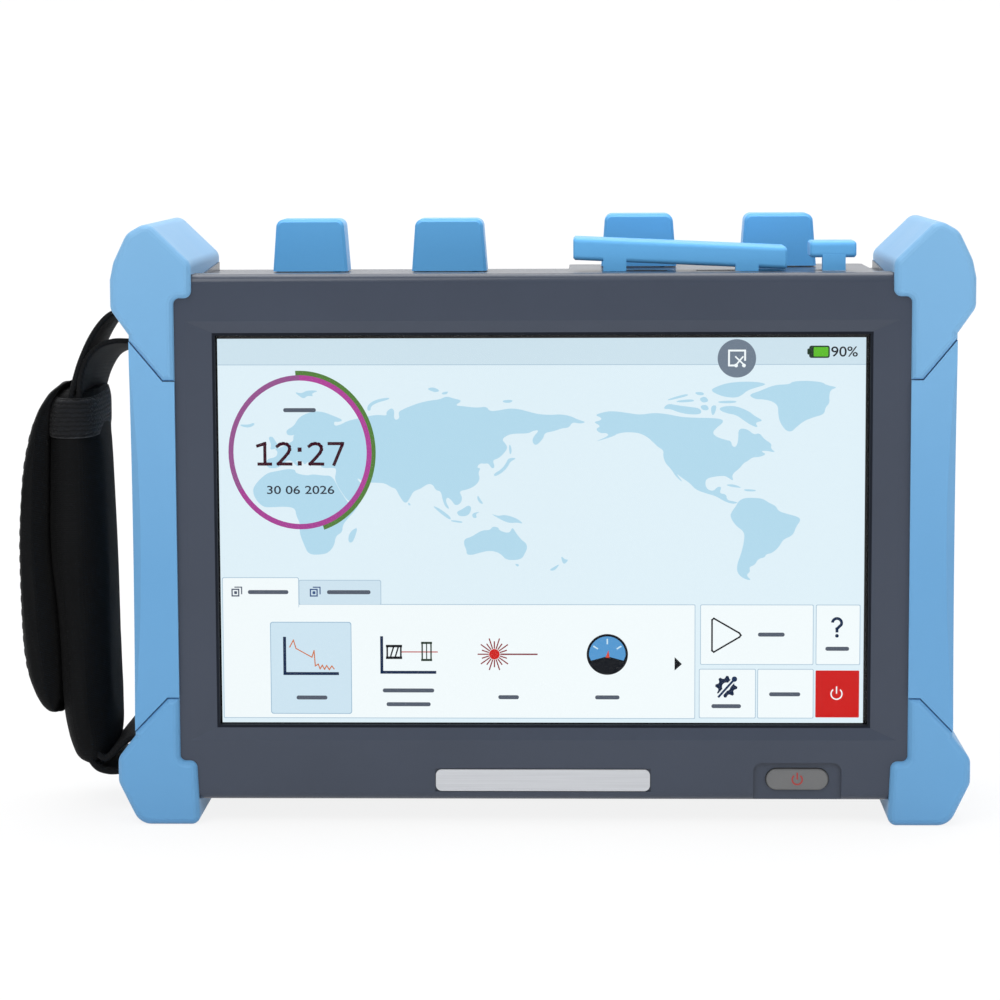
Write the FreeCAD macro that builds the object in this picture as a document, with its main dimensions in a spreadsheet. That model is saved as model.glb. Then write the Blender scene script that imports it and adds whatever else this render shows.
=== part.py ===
import FreeCAD, Part
import math
import os
import re
import Sketcher

# Handheld optical time domain reflectometer: a landscape touch-screen tester in a
# two-part housing, with four corner bumpers, side rails, capped ports on top, a
# hand strap on the left and a fold-out stand on the back. The model stands on its
# bumpers: x runs to the right, the screen faces -y and z runs up from the table.
# Sizes below are measured from the housing's mid-plane; one shift centres the
# whole instrument, strap included, on the origin.

DIMENSIONS = {
    # housing
    "case_width": 208.0,
    "case_height": 141.2,
    "case_depth": 64.8,
    "bezel_depth": 10.4,
    "case_wall": 2.6,
    "back_wall": 7.6,
    "edge_round": 2.4,
    "foot_height": 6.6,
    "rim_rise": 1.5,
    "rim_bevel": 0.8,
    "corner_lift": 2.2,
    # screen
    "screen_width": 174.0,
    "screen_height": 104.4,
    "screen_border": 1.4,
    "screen_lift": 2.8,
    "dish_side": 7.0,
    "dish_end": 3.2,
    "dish_fall": 1.1,
    "glass_thick": 1.8,
    "glass_margin": 5.0,
    "gasket_thick": 0.6,
    "lining": 0.7,
    "display_thick": 5.0,
    "display_margin": 4.0,
    # corner bumpers
    "bumper_lip": 2.0,
    "bumper_reach": 11.3,
    "bumper_rise": 15.6,
    "bumper_run": 10.4,
    "lip_width": 5.6,
    "lip_bevel": 1.3,
    "lip_soften": 0.42,
    "step_level": 4.8,
    "foot_step": 10.9,
    # side rails
    "rail_reach": 6.5,
    "rail_lip": 1.2,
    "rail_lap": 5.6,
    "rail_bevel": 2.4,
    "seam_gap": 0.2,
    "top_seam_start": 16.2,
    "bottom_seam_start": 19.0,
    "top_seam": 26.9,
    "bottom_seam": 28.2,
    "seam_flat": 3.2,
    # name plate and power button
    "plate_width": 58.0,
    "plate_height": 5.9,
    "plate_thick": 0.8,
    "plate_sink": 0.5,
    "plate_rise": 5.6,
    "button_place": 68.8,
    "button_rise": 5.8,
    "button_length": 16.8,
    "button_height": 5.7,
    "button_travel": 0.8,
    "button_gap": 0.2,
    "button_well": 1.2,
    "well_width": 23.8,
    "well_height": 10.4,
    "floor_skin": 0.6,
    # dust caps and optical adapters
    "cap_width": 20.9,
    "cap_taper": 1.1,
    "cap_height": 14.8,
    "cap_depth": 14.0,
    "cap_wall": 1.6,
    "cap_outer_place": 65.4,
    "cap_inner_place": 26.5,
    "cap_round": 2.2,
    "cap_bevel": 0.8,
    "cap_hinge_back": 5.0,
    "cap_hinge_rise": 3.2,
    "knuckle_radius": 2.4,
    "knuckle_length": 9.0,
    "cap_pin_radius": 1.0,
    "turn_gap": 0.05,
    "ear_thick": 2.4,
    "adapter_radius": 4.0,
    "adapter_height": 8.8,
    "adapter_bore": 1.25,
    "adapter_flange": 12.0,
    "flange_depth": 8.4,
    # port bay, flaps and sockets
    "bay_left": 7.0,
    "bay_right": 90.0,
    "bay_height": 1.2,
    "flap_front": 12.4,
    "flap_left": 8.4,
    "flap_right": 66.0,
    "flap_depth": 19.0,
    "flap_thick": 6.0,
    "flap_lift": 0.4,
    "flap_tilt": 2.6,
    "flap_round": 1.3,
    "flap_bevel": 0.5,
    "tab_width": 6.2,
    "tab_thick": 3.0,
    "small_flap_place": 78.4,
    "small_flap_width": 12.4,
    "small_flap_thick": 4.4,
    "small_flap_depth": 13.0,
    "small_flap_lift": 3.8,
    "seat_gap": 0.3,
    "usb_width": 13.2,
    "usb_height": 5.8,
    "usb_place": 48.0,
    "lan_width": 16.0,
    "lan_height": 13.4,
    "lan_place": 28.0,
    "socket_deep": 14.0,
    "jack_radius": 4.4,
    # fold-out stand and battery
    "stand_width": 128.0,
    "stand_limb": 12.0,
    "stand_thick": 4.6,
    "stand_low": 6.6,
    "stand_high": 95.2,
    "stand_gap": 0.4,
    "stand_pin_radius": 1.2,
    "pin_grip": 3.0,
    "cover_width": 94.0,
    "cover_height": 58.0,
    "cover_thick": 2.4,
    "cover_low": 24.0,
    "cover_gap": 0.3,
    "battery_depth": 22.0,
    "battery_lap": 3.0,
    # electronics
    "board_width": 150.0,
    "board_height": 100.0,
    "board_thick": 1.6,
    "spacer_length": 6.4,
    "module_width": 90.0,
    "module_height": 40.0,
    "module_depth": 18.0,
    "speaker_radius": 14.0,
    "speaker_place": 76.0,
    "speaker_rise": 102.0,
    # screws
    "screw_side": 14.0,
    "screw_end": 14.0,
    "screw_radius": 1.5,
    "screw_head": 2.9,
    "screw_length": 14.0,
    "post_width": 8.4,
    # hand strap
    "strap_reach": 144.0,
    "pad_thick": 7.0,
    "pad_width": 50.0,
    "wrap_thick": 16.0,
    "wrap_width": 40.0,
    "wrap_drop": 18.4,
    "wrap_sag": 3.8,
    "webbing_width": 38.0,
    "anchor_radius": 1.6,
    "anchor_inset": 3.9,
    "anchor_top": 126.8,
    "anchor_bottom": 9.8,
    "slot_tall": 14.2,
}

# Places that several pieces share, worked out from the driving sizes.
SIDE = "(case_width / 2)"
BASE = "(foot_height)"
TOP = "(foot_height + case_height)"
FRONT = "(-case_depth / 2)"
BACK = "(case_depth / 2)"
SEAM = "(-case_depth / 2 + bezel_depth)"
BAY = "(foot_height + case_height + bay_height)"
SCREEN_MIDDLE = "(foot_height + case_height / 2 + screen_lift)"
CAVITY_BACK = "(case_depth / 2 - back_wall)"
GLASS_FRONT = "(-case_depth / 2 + case_wall + gasket_thick)"
DISPLAY_FRONT = "(-case_depth / 2 + case_wall + gasket_thick + glass_thick)"
DISPLAY_BACK = "(-case_depth / 2 + case_wall + gasket_thick + glass_thick + display_thick)"
HINGE_Y = "(case_depth / 2 - cap_hinge_back)"
CAP_BACK = "(case_depth / 2 - cap_hinge_back - knuckle_radius - 0.4)"
CAP_FRONT = "(case_depth / 2 - cap_hinge_back - knuckle_radius - 0.4 - cap_depth)"
CAP_MIDDLE = "(case_depth / 2 - cap_hinge_back - knuckle_radius - 0.4 - cap_depth / 2)"
FLAP_FRONT = "(-case_depth / 2 + flap_front)"
STAND_BACK = "(case_depth / 2 - 0.2)"
STAND_AXIS_Y = "(case_depth / 2 - 0.2 - stand_thick / 2)"
STAND_AXIS_Z = "(foot_height + stand_high - stand_thick / 2)"
ANCHOR_X = "(-case_width / 2 - anchor_inset)"
WRAP_X = "(-strap_reach + pad_thick)"
WRAP_LOW = "(foot_height + anchor_bottom - wrap_sag)"
WRAP_HIGH = "(foot_height + anchor_top - wrap_drop)"

doc = FreeCAD.newDocument("OpticalReflectometer")
sheet = doc.addObject("Spreadsheet::Sheet", "Dims")
for row, (alias, value) in enumerate(DIMENSIONS.items(), start=1):
    sheet.set("A%d" % row, alias)
    sheet.set("B%d" % row, str(value))
    sheet.setAlias("B%d" % row, alias)
doc.recompute()

NODES = []
PLANES = {"z": "XY_Plane", "y": "XZ_Plane", "x": "YZ_Plane"}


def bound(text):
    """Write an expression of sheet names so that other objects can read it."""
    return re.sub(
        r"[a-z_]\w*",
        lambda word: "Dims." + word.group() if word.group() in DIMENSIONS else word.group(),
        str(text),
    )


def number(text):
    """Work out an expression of sheet names."""
    return float(sheet.evalExpression(str(text)))


def node(name):
    """Start one sub-part, shifted so that the whole instrument stands centred."""
    body = doc.addObject("PartDesign::Body", name)
    body.Label = name
    body.AllowCompound = True
    body.setExpression("Placement.Base.x", bound("(strap_reach - case_width / 2 - bumper_reach) / 2"))
    NODES.append(body)
    return body


def rectangle(left, right, low, high):
    return [(left, low), (right, low), (right, high), (left, high)]


def centred(middle_x, width, middle_y, height):
    return rectangle(
        f"{middle_x} - ({width}) / 2",
        f"{middle_x} + ({width}) / 2",
        f"{middle_y} - ({height}) / 2",
        f"{middle_y} + ({height}) / 2",
    )


def circle(x, y, radius):
    return (x, y, radius)


def mirrored(points, side):
    return [(f"{side} * ({x})", y) for x, y in points]


def sketch(body, name, axis, level, loops):
    """Draw closed loops on the plane square to an axis, every corner tied to the sheet."""
    drawing = body.newObject("Sketcher::SketchObject", name)
    plane = next(item for item in body.Origin.OriginFeatures if item.Role == PLANES[axis])
    drawing.AttachmentSupport = [(plane, "")]
    drawing.MapMode = "FlatFace"
    turn = -1 if axis == "y" else 1
    drawing.setExpression("AttachmentOffset.Base.z", bound(f"{turn} * ({level})"))
    for loop in loops:
        if isinstance(loop, tuple):
            draw_circle(drawing, loop)
        else:
            draw_polygon(drawing, loop)
    return drawing


def draw_circle(drawing, loop):
    x, y, radius = loop
    centre = FreeCAD.Vector(number(x), number(y), 0)
    curve = drawing.addGeometry(Part.Circle(centre, FreeCAD.Vector(0, 0, 1), number(radius)), False)
    pin_point(drawing, curve, 3, x, y)
    rule = drawing.addConstraint(Sketcher.Constraint("Radius", curve, number(radius)))
    drawing.setExpression("Constraints[%d]" % rule, bound(radius))


def draw_polygon(drawing, points):
    places = [FreeCAD.Vector(number(x), number(y), 0) for x, y in points]
    lines = [Part.LineSegment(a, b) for a, b in zip(places, places[1:] + places[:1])]
    first = drawing.addGeometry(lines, False)[0]
    count = len(points)
    for i in range(count):
        joint = Sketcher.Constraint("Coincident", first + i, 2, first + (i + 1) % count, 1)
        drawing.addConstraint(joint)
    for i, (x, y) in enumerate(points):
        pin_point(drawing, first + i, 1, x, y)


def pin_point(drawing, curve, end, x, y):
    for kind, value in (("DistanceX", x), ("DistanceY", y)):
        rule = drawing.addConstraint(Sketcher.Constraint(kind, -1, 1, curve, end, number(value)))
        drawing.setExpression("Constraints[%d]" % rule, bound(value))


def volume(body):
    doc.recompute()
    return body.Shape.Volume if body.Tip and not body.Shape.isNull() else 0.0


def add(body, name, axis, start, end, *loops):
    """Add a prism of the loops from one level to another along an axis."""
    before = volume(body)
    level = end if axis == "y" else start
    drawing = sketch(body, name + "_outline", axis, level, loops)
    pad = body.newObject("PartDesign::Pad", name)
    pad.Profile = drawing
    pad.setExpression("Length", bound(f"({end}) - ({start})"))
    if volume(body) <= before:
        raise ValueError("nothing added by " + name)
    return pad


def cut(body, name, axis, start, end, *loops):
    """Cut a prism of the loops from one level to another along an axis."""
    before = volume(body)
    level = start if axis == "y" else end
    drawing = sketch(body, name + "_outline", axis, level, loops)
    pocket = body.newObject("PartDesign::Pocket", name)
    pocket.Profile = drawing
    pocket.setExpression("Length", bound(f"({end}) - ({start})"))
    if volume(body) >= before:
        raise ValueError("nothing cut by " + name)
    return pocket


def loft_cut(body, name, axis, start, start_loop, end, end_loop):
    """Cut the straight-sided funnel between two loops."""
    before = volume(body)
    mouth = sketch(body, name + "_mouth", axis, start, [start_loop])
    throat = sketch(body, name + "_throat", axis, end, [end_loop])
    funnel = body.newObject("PartDesign::SubtractiveLoft", name)
    funnel.Profile = mouth
    funnel.Sections = [throat]
    funnel.Ruled = True
    if volume(body) >= before:
        raise ValueError("nothing cut by " + name)


def dress(kind, body, name, amount, chosen):
    """Round or bevel the edges that a test picks out."""
    doc.recompute()
    tip = body.Tip
    picked = ["Edge%d" % (i + 1) for i, edge in enumerate(tip.Shape.Edges) if chosen(edge)]
    if not picked:
        raise ValueError("no edges for " + name)
    feature = body.newObject("PartDesign::" + kind, name)
    feature.Base = (tip, picked)
    feature.setExpression("Radius" if kind == "Fillet" else "Size", bound(amount))
    doc.recompute()
    return feature


def near(value, text):
    return abs(value - number(text)) < 0.01


def runs(edge, axis):
    """Whether a straight edge runs along one axis."""
    box = edge.BoundBox
    lengths = {"x": box.XLength, "y": box.YLength, "z": box.ZLength}
    longest = lengths.pop(axis)
    return longest > 0.2 and max(lengths.values()) < 0.001


def lies(edge, axis, text):
    """Whether an edge lies wholly at one level of an axis."""
    box = edge.BoundBox
    low, high = {"x": (box.XMin, box.XMax), "y": (box.YMin, box.YMax), "z": (box.ZMin, box.ZMax)}[axis]
    return near(low, text) and near(high, text)


# ---------------------------------------------------------------- housing

def front_housing():
    """Bezel: a shallow tray with the dished screen window, plate seat and button well."""
    body = node("front_housing")
    add(body, "bezel_block", "y", FRONT, SEAM, rectangle(f"-{SIDE}", SIDE, BASE, f"{TOP} + rim_rise"))
    dress("Fillet", body, "front_edge_round", "edge_round", lambda e: lies(e, "y", FRONT))
    dress("Chamfer", body, "rim_back_bevel", "rim_bevel",
          lambda e: lies(e, "y", SEAM) and lies(e, "z", f"{TOP} + rim_rise"))
    hollow = rectangle(
        f"-{SIDE} + case_wall", f"{SIDE} - case_wall", f"{BASE} + case_wall", f"{TOP} - case_wall"
    )
    cut(body, "bezel_hollow", "y", f"{FRONT} + case_wall", SEAM, hollow)
    window_width = "screen_width + 2 * screen_border"
    window_height = "screen_height + 2 * screen_border"
    cut(body, "window", "y", FRONT, f"{FRONT} + case_wall",
        centred("0", window_width, SCREEN_MIDDLE, window_height))
    loft_cut(
        body, "window_dish", "y",
        FRONT, centred("0", f"{window_width} + 2 * dish_side", SCREEN_MIDDLE, f"{window_height} + 2 * dish_end"),
        f"{FRONT} + dish_fall", centred("0", window_width, SCREEN_MIDDLE, window_height),
    )
    cut(body, "plate_seat", "y", FRONT, f"{FRONT} + plate_sink",
        centred("0", "plate_width + 0.4", f"{BASE} + plate_rise", "plate_height + 0.4"))
    well_top = f"{BASE} + well_height"
    cut(body, "button_well", "y", FRONT, f"{FRONT} + button_well",
        rectangle("button_place - well_width / 2", "button_place + well_width / 2", BASE, well_top))
    dress("Fillet", body, "well_corner_round", "edge_round",
          lambda e: runs(e, "y") and near(e.BoundBox.ZMin, well_top) and e.BoundBox.XMin > 0)
    pill_hole(body)
    cut(body, "flange_room", "y", f"{FRONT} + case_wall", SEAM,
        rectangle("button_place - well_width / 2", "button_place + well_width / 2",
                  f"{BASE} + floor_skin", f"{BASE} + case_wall + 0.5"))
    return body


def pill_loops(grow):
    """Outline of the power button: a bar with round ends, grown by a clearance."""
    middle = f"{BASE} + button_rise"
    radius = f"button_height / 2 + {grow}"
    reach = "(button_length - button_height) / 2"
    bar = centred("button_place", "button_length - button_height", middle, f"button_height + 2 * ({grow})")
    ends = [circle(f"button_place + {s} * {reach}", middle, radius) for s in (-1, 1)]
    return bar, ends


def pill_hole(body):
    bar, ends = pill_loops("button_gap")
    through = (f"{FRONT} + button_well", f"{FRONT} + case_wall")
    cut(body, "button_slot", "y", *through, bar)
    for i, end in enumerate(ends):
        cut(body, "button_slot_end_%d" % i, "y", *through, end)


def power_button():
    """Pill-shaped key with a flange that keeps it behind the bezel."""
    body = node("power_button")
    flange_front = f"{FRONT} + case_wall + 0.1"
    for name, grow, start, end in (
        ("face", "0", f"{FRONT} + 0.2", flange_front),
        ("flange", "1", flange_front, f"{flange_front} + 1"),
    ):
        bar, ends = pill_loops(grow)
        add(body, name + "_bar", "y", start, end, bar)
        for i, disc in enumerate(ends):
            add(body, "%s_end_%d" % (name, i), "y", start, end, disc)
    dress("Chamfer", body, "face_bevel", "0.3", lambda e: lies(e, "y", f"{FRONT} + 0.2"))
    return body


def power_switch():
    """Small switch behind the power button, one travel away from its flange."""
    body = node("power_switch")
    start = f"{FRONT} + case_wall + 1.1 + button_travel + 0.1"
    add(body, "switch_block", "y", start, f"{SEAM} - 1",
        centred("button_place", "6", f"{BASE} + button_rise", "3"))
    add(body, "switch_foot", "y", f"{SEAM} - 3", f"{SEAM} - 1",
        rectangle("button_place - 5", "button_place + 5", f"{BASE} + case_wall", f"{BASE} + button_rise"))
    return body


def rear_housing():
    """Deep back shell: top port wall, battery bay, stand recess, screw posts and grille."""
    body = node("rear_housing")
    case = rectangle(f"-{SIDE}", SIDE, BASE, TOP)
    add(body, "shell_block", "y", SEAM, BACK, case)
    dress("Fillet", body, "back_edge_round", "edge_round", lambda e: lies(e, "y", BACK))
    hollow = rectangle(
        f"-{SIDE} + case_wall", f"{SIDE} - case_wall", f"{BASE} + case_wall", f"{TOP} - case_wall"
    )
    cut(body, "shell_hollow", "y", SEAM, CAVITY_BACK, hollow)
    add_battery_bay(body)
    cut_stand_recess(body)
    add_posts(body)
    cut_top_ports(body)
    cut_grille(body)
    for side in (-1, 1):
        corner_lift(add, body, side, "0.5")
    for i, place in enumerate(("-cap_outer_place", "-cap_inner_place")):
        hinge_ears(body, "cap_%d" % (i + 1), place, TOP)
    return body


def corner_lift(work, body, side, margin):
    """Low wedge on the top wall under each upper bumper, rising toward the back."""
    start, end = sorted((f"{side} * ({SIDE} - bumper_run - {margin})", f"{side} * {SIDE}"), key=number)
    work(body, "corner_lift_%s" % ("left" if side < 0 else "right"), "x", start, end,
         [(SEAM, TOP), (f"{BACK} - edge_round", TOP), (f"{BACK} - edge_round", f"{TOP} + corner_lift")])


def bay_rectangle(grow):
    middle = f"{BASE} + cover_low + cover_height / 2"
    return centred("0", f"cover_width - 2 * battery_lap + 2 * ({grow})", middle,
                   f"cover_height - 2 * battery_lap + 2 * ({grow})")


def add_battery_bay(body):
    floor = f"{BACK} - cover_thick - battery_depth - 1"
    add(body, "bay_block", "y", f"{floor} - case_wall", CAVITY_BACK, bay_rectangle("case_wall"))
    cut(body, "bay_hollow", "y", floor, BACK, bay_rectangle("0"))
    cut(body, "cover_seat", "y", f"{BACK} - cover_thick", BACK,
        centred("0", "cover_width + 2 * cover_gap",
                f"{BASE} + cover_low + cover_height / 2", "cover_height + 2 * cover_gap"))


def stand_outline(grow):
    """A U open at the top: two limbs joined by a foot bar."""
    outer = f"(stand_width / 2 + {grow})"
    inner = f"(stand_width / 2 - stand_limb - {grow})"
    low = f"({BASE} + stand_low - {grow})"
    bar = f"({BASE} + stand_low + stand_limb + {grow})"
    high = f"({BASE} + stand_high + {grow})"
    return [
        (f"-{outer}", low), (outer, low), (outer, high), (inner, high),
        (inner, bar), (f"-{inner}", bar), (f"-{inner}", high), (f"-{outer}", high),
    ]


def cut_stand_recess(body):
    cut(body, "stand_recess", "y", f"{BACK} - stand_thick - 0.6", BACK, stand_outline("stand_gap"))
    cut(body, "finger_notch", "y", f"{BACK} - stand_thick - 0.6", BACK,
        rectangle("-12", "12", f"{BASE} + stand_low - 3.4", f"{BASE} + stand_low + 1"))
    for side in (-1, 1):
        ends = sorted((f"{side} * (stand_width / 2 - stand_limb - pin_grip - stand_gap)",
                       f"{side} * (stand_width / 2 + pin_grip + stand_gap)"), key=number)
        cut(body, "pin_bore_%s" % ("left" if side < 0 else "right"), "x", ends[0], ends[1],
            circle(STAND_AXIS_Y, STAND_AXIS_Z, "stand_pin_radius"))


def screw_places():
    for side in (-1, 1):
        for height in ("screw_end", "case_height - screw_end"):
            yield f"{side} * ({SIDE} - screw_side)", f"{BASE} + {height}"


def add_posts(body):
    for i, (x, z) in enumerate(screw_places()):
        add(body, "post_%d" % i, "y", SEAM, CAVITY_BACK, centred(x, "post_width", z, "post_width"))
        cut(body, "head_well_%d" % i, "y", f"{BACK} - 3.2", BACK, circle(x, z, "screw_head + 0.3"))
        cut(body, "shank_hole_%d" % i, "y", f"{BACK} - 3.2 - screw_length", BACK, circle(x, z, "screw_radius"))


def case_screws():
    """Four pan-head screws that close the housing from the back, with slotted heads."""
    body = node("case_screws")
    places = list(screw_places())
    head_back = f"{BACK} - 3.2"
    add(body, "heads", "y", head_back, f"{head_back} + 2", *[circle(x, z, "screw_head") for x, z in places])
    add(body, "shanks", "y", f"{head_back} - screw_length", head_back,
        *[circle(x, z, "screw_radius") for x, z in places])
    cut(body, "slots", "y", f"{head_back} + 1.2", f"{head_back} + 2",
        *[centred(x, "2 * screw_head - 1", z, "0.9") for x, z in places])
    return body


def port_openings():
    """Each cut-out of the top wall: name and outline in plan."""
    for i, place in enumerate(("-cap_outer_place", "-cap_inner_place", "cap_inner_place", "cap_outer_place")):
        yield "adapter_hole_%d" % (i + 1), circle(place, CAP_MIDDLE, "adapter_radius - 0.5")
    socket_y = f"{FLAP_FRONT} + flap_depth / 2 + 1"
    yield "usb_hole", centred("usb_place", "usb_width", socket_y, "usb_height")
    yield "lan_hole", centred("lan_place", "lan_width", socket_y, "lan_height")
    yield "jack_hole", circle("small_flap_place", f"{FLAP_FRONT} + flap_depth / 2", "jack_radius + turn_gap")
    for name, place in tab_places():
        yield name + "_hole", rectangle(f"{place} - tab_width / 2", f"{place} + tab_width / 2",
                                        FLAP_FRONT, f"{FLAP_FRONT} + tab_thick")


def tab_places():
    return (("left_tab", "flap_left + 11.2"), ("right_tab", "flap_right - 10.8"),
            ("small_tab", "small_flap_place + 0.2"))


def cut_top_ports(body):
    for name, loop in port_openings():
        cut(body, name, "z", f"{TOP} - case_wall", TOP, loop)


def cut_grille(body):
    slots = 6
    for i in range(slots):
        middle = f"{BASE} + speaker_rise + {(i - (slots - 1) / 2) * 3.6}"
        cut(body, "grille_slot_%d" % i, "y", CAVITY_BACK, BACK,
            centred("-speaker_place", "18", middle, "1.6"))


def hinge_ears(body, name, place, base):
    """Two ears that carry a dust cap's pin, bevelled about the pin's axis."""
    height = f"{base} + cap_hinge_rise"
    for side in (-1, 1):
        inner = f"{place} + {side} * (knuckle_length / 2 + seat_gap)"
        outer = f"{place} + {side} * (knuckle_length / 2 + seat_gap + ear_thick)"
        low, high = sorted((inner, outer), key=number)
        label = "%s_ear_%s" % (name, "left" if side < 0 else "right")
        add(body, label, "x", low, high, [
            (f"{HINGE_Y} - knuckle_radius", base), (f"{HINGE_Y} + knuckle_radius", base),
            (f"{HINGE_Y} + knuckle_radius", f"{height} + 0.9"), (f"{HINGE_Y} + 0.9", f"{height} + knuckle_radius"),
            (f"{HINGE_Y} - 0.9", f"{height} + knuckle_radius"), (f"{HINGE_Y} - knuckle_radius", f"{height} + 0.9"),
        ])
        cut(body, label + "_bore", "x", low, high, circle(HINGE_Y, height, "cap_pin_radius"))


# ---------------------------------------------------------------- display stack

def screen_gasket():
    """Black rubber frame between the bezel and the touch glass, with a lip that lines the window."""
    body = node("screen_gasket")
    width = "screen_width + 2 * screen_border"
    height = "screen_height + 2 * screen_border"
    add(body, "frame", "y", f"{FRONT} + case_wall", GLASS_FRONT,
        centred("0", "screen_width + 2 * glass_margin", SCREEN_MIDDLE, "screen_height + 2 * glass_margin"),
        centred("0", width, SCREEN_MIDDLE, height))
    add(body, "window_lip", "y", f"{FRONT} + dish_fall", GLASS_FRONT,
        centred("0", width, SCREEN_MIDDLE, height),
        centred("0", "screen_width + 2 * lining", SCREEN_MIDDLE, "screen_height + 2 * lining"))
    return body


def touch_panel():
    body = node("touch_panel")
    add(body, "sheet", "y", GLASS_FRONT, DISPLAY_FRONT,
        centred("0", "screen_width + 2 * glass_margin", SCREEN_MIDDLE, "screen_height + 2 * glass_margin"))
    return body


def lcd_panel():
    """Display module: the picture area in a thin frame with four fixing lugs."""
    body = node("lcd_panel")
    width = "screen_width + 2 * display_margin"
    height = "screen_height + 2 * display_margin"
    add(body, "module", "y", DISPLAY_FRONT, DISPLAY_BACK, centred("0", width, SCREEN_MIDDLE, height))
    lugs = [
        centred(f"{side} * (screen_width / 2 + display_margin + 2)", "4",
                f"{SCREEN_MIDDLE} + {end} * screen_height / 3", "9")
        for side in (-1, 1) for end in (-1, 1)
    ]
    add(body, "lugs", "y", f"{DISPLAY_BACK} - 1.5", DISPLAY_BACK, *lugs)
    return body


def nameplate():
    """Bare metal plate with rounded corners, let into the bezel's lower edge."""
    body = node("nameplate")
    back = f"{FRONT} + plate_sink"
    add(body, "sheet", "y", f"{back} - plate_thick", back,
        centred("0", "plate_width", f"{BASE} + plate_rise", "plate_height"))
    dress("Fillet", body, "corners", "1.6", lambda e: runs(e, "y"))
    return body


# ---------------------------------------------------------------- electronics

def spacer_places():
    for side in (-1, 1):
        for end in (-1, 1):
            yield (f"{side} * (board_width / 2 - 6)", f"{SCREEN_MIDDLE} + {end} * (board_height / 2 - 6)")


def board_spacers():
    body = node("board_spacers")
    add(body, "posts", "y", DISPLAY_BACK, f"{DISPLAY_BACK} + spacer_length",
        *[circle(x, z, "2.6") for x, z in spacer_places()])
    return body


def main_board():
    """Circuit board with its larger chips and the shielding can."""
    body = node("main_board")
    start = f"{DISPLAY_BACK} + spacer_length"
    back = f"{start} + board_thick"
    add(body, "sheet", "y", start, back, centred("0", "board_width", SCREEN_MIDDLE, "board_height"))
    add(body, "chips", "y", back, f"{back} + 1.8",
        centred("-50", "16", f"{SCREEN_MIDDLE} + 10", "16"),
        centred("-26", "12", f"{SCREEN_MIDDLE} + 12", "10"),
        centred("-60", "10", f"{SCREEN_MIDDLE} + 36", "12"))
    cut(body, "fixing_holes", "y", start, back, *[circle(x, z, "1.5") for x, z in spacer_places()])
    return body


def otdr_module():
    """Finned metal optical engine on the board, under the right-hand optical ports."""
    body = node("otdr_module")
    board_back = f"{DISPLAY_BACK} + spacer_length + board_thick"
    middle_z = f"{TOP} - case_wall - 14 - module_height / 2"
    add(body, "case", "y", board_back, f"{board_back} + module_depth",
        centred("board_width / 2 - module_width / 2 - 4", "module_width", middle_z, "module_height"))
    fins = 8
    for i in range(fins):
        place = f"board_width / 2 - 4 - module_width / 2 + {i - (fins - 1) / 2} * module_width / {fins}"
        add(body, "fin_%d" % i, "y", f"{board_back} + module_depth", f"{board_back} + module_depth + 4",
            centred(place, "1.8", middle_z, "module_height - 4"))
    return body


def battery_pack():
    """Lithium pack in its bay, with rounded long edges."""
    body = node("battery_pack")
    back = f"{BACK} - cover_thick - 0.5"
    add(body, "pack", "y", f"{back} - battery_depth", back, bay_rectangle("-0.3"))
    dress("Fillet", body, "edges", "3", lambda e: runs(e, "x"))
    return body


def battery_cover():
    """Door over the battery with a ribbed thumb grip and two screw holes."""
    body = node("battery_cover")
    middle = f"{BASE} + cover_low + cover_height / 2"
    add(body, "door", "y", f"{BACK} - cover_thick", BACK, centred("0", "cover_width", middle, "cover_height"))
    dress("Fillet", body, "corners", "2", lambda e: runs(e, "y"))
    ribs = 5
    for i in range(ribs):
        cut(body, "grip_%d" % i, "y", f"{BACK} - 0.8", BACK,
            centred("0", "26", f"{BASE} + cover_low + cover_height - 10 - {i * 2.6}", "1.2"))
    for i, (x, z) in enumerate(cover_screw_places()):
        cut(body, "screw_hole_%d" % i, "y", f"{BACK} - cover_thick", BACK, circle(x, z, "1.2"))
        cut(body, "head_seat_%d" % i, "y", f"{BACK} - 1", BACK, circle(x, z, "2.4"))
    return body


def cover_screw_places():
    for side in (-1, 1):
        yield f"{side} * (cover_width / 2 - 5)", f"{BASE} + cover_low + cover_height / 2"


def cover_screws():
    body = node("cover_screws")
    places = list(cover_screw_places())
    add(body, "heads", "y", f"{BACK} - 1", f"{BACK} - 0.1", *[circle(x, z, "2.2") for x, z in places])
    add(body, "shanks", "y", f"{BACK} - cover_thick", f"{BACK} - 1", *[circle(x, z, "1.2") for x, z in places])
    return body


def speaker():
    body = node("speaker")
    middle = f"{BASE} + speaker_rise"
    add(body, "basket", "y", f"{CAVITY_BACK} - 3", CAVITY_BACK, circle("-speaker_place", middle, "speaker_radius"))
    add(body, "magnet", "y", f"{CAVITY_BACK} - 7", f"{CAVITY_BACK} - 3",
        circle("-speaker_place", middle, "speaker_radius * 0.6"))
    return body


# ---------------------------------------------------------------- bumpers and rails

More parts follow.
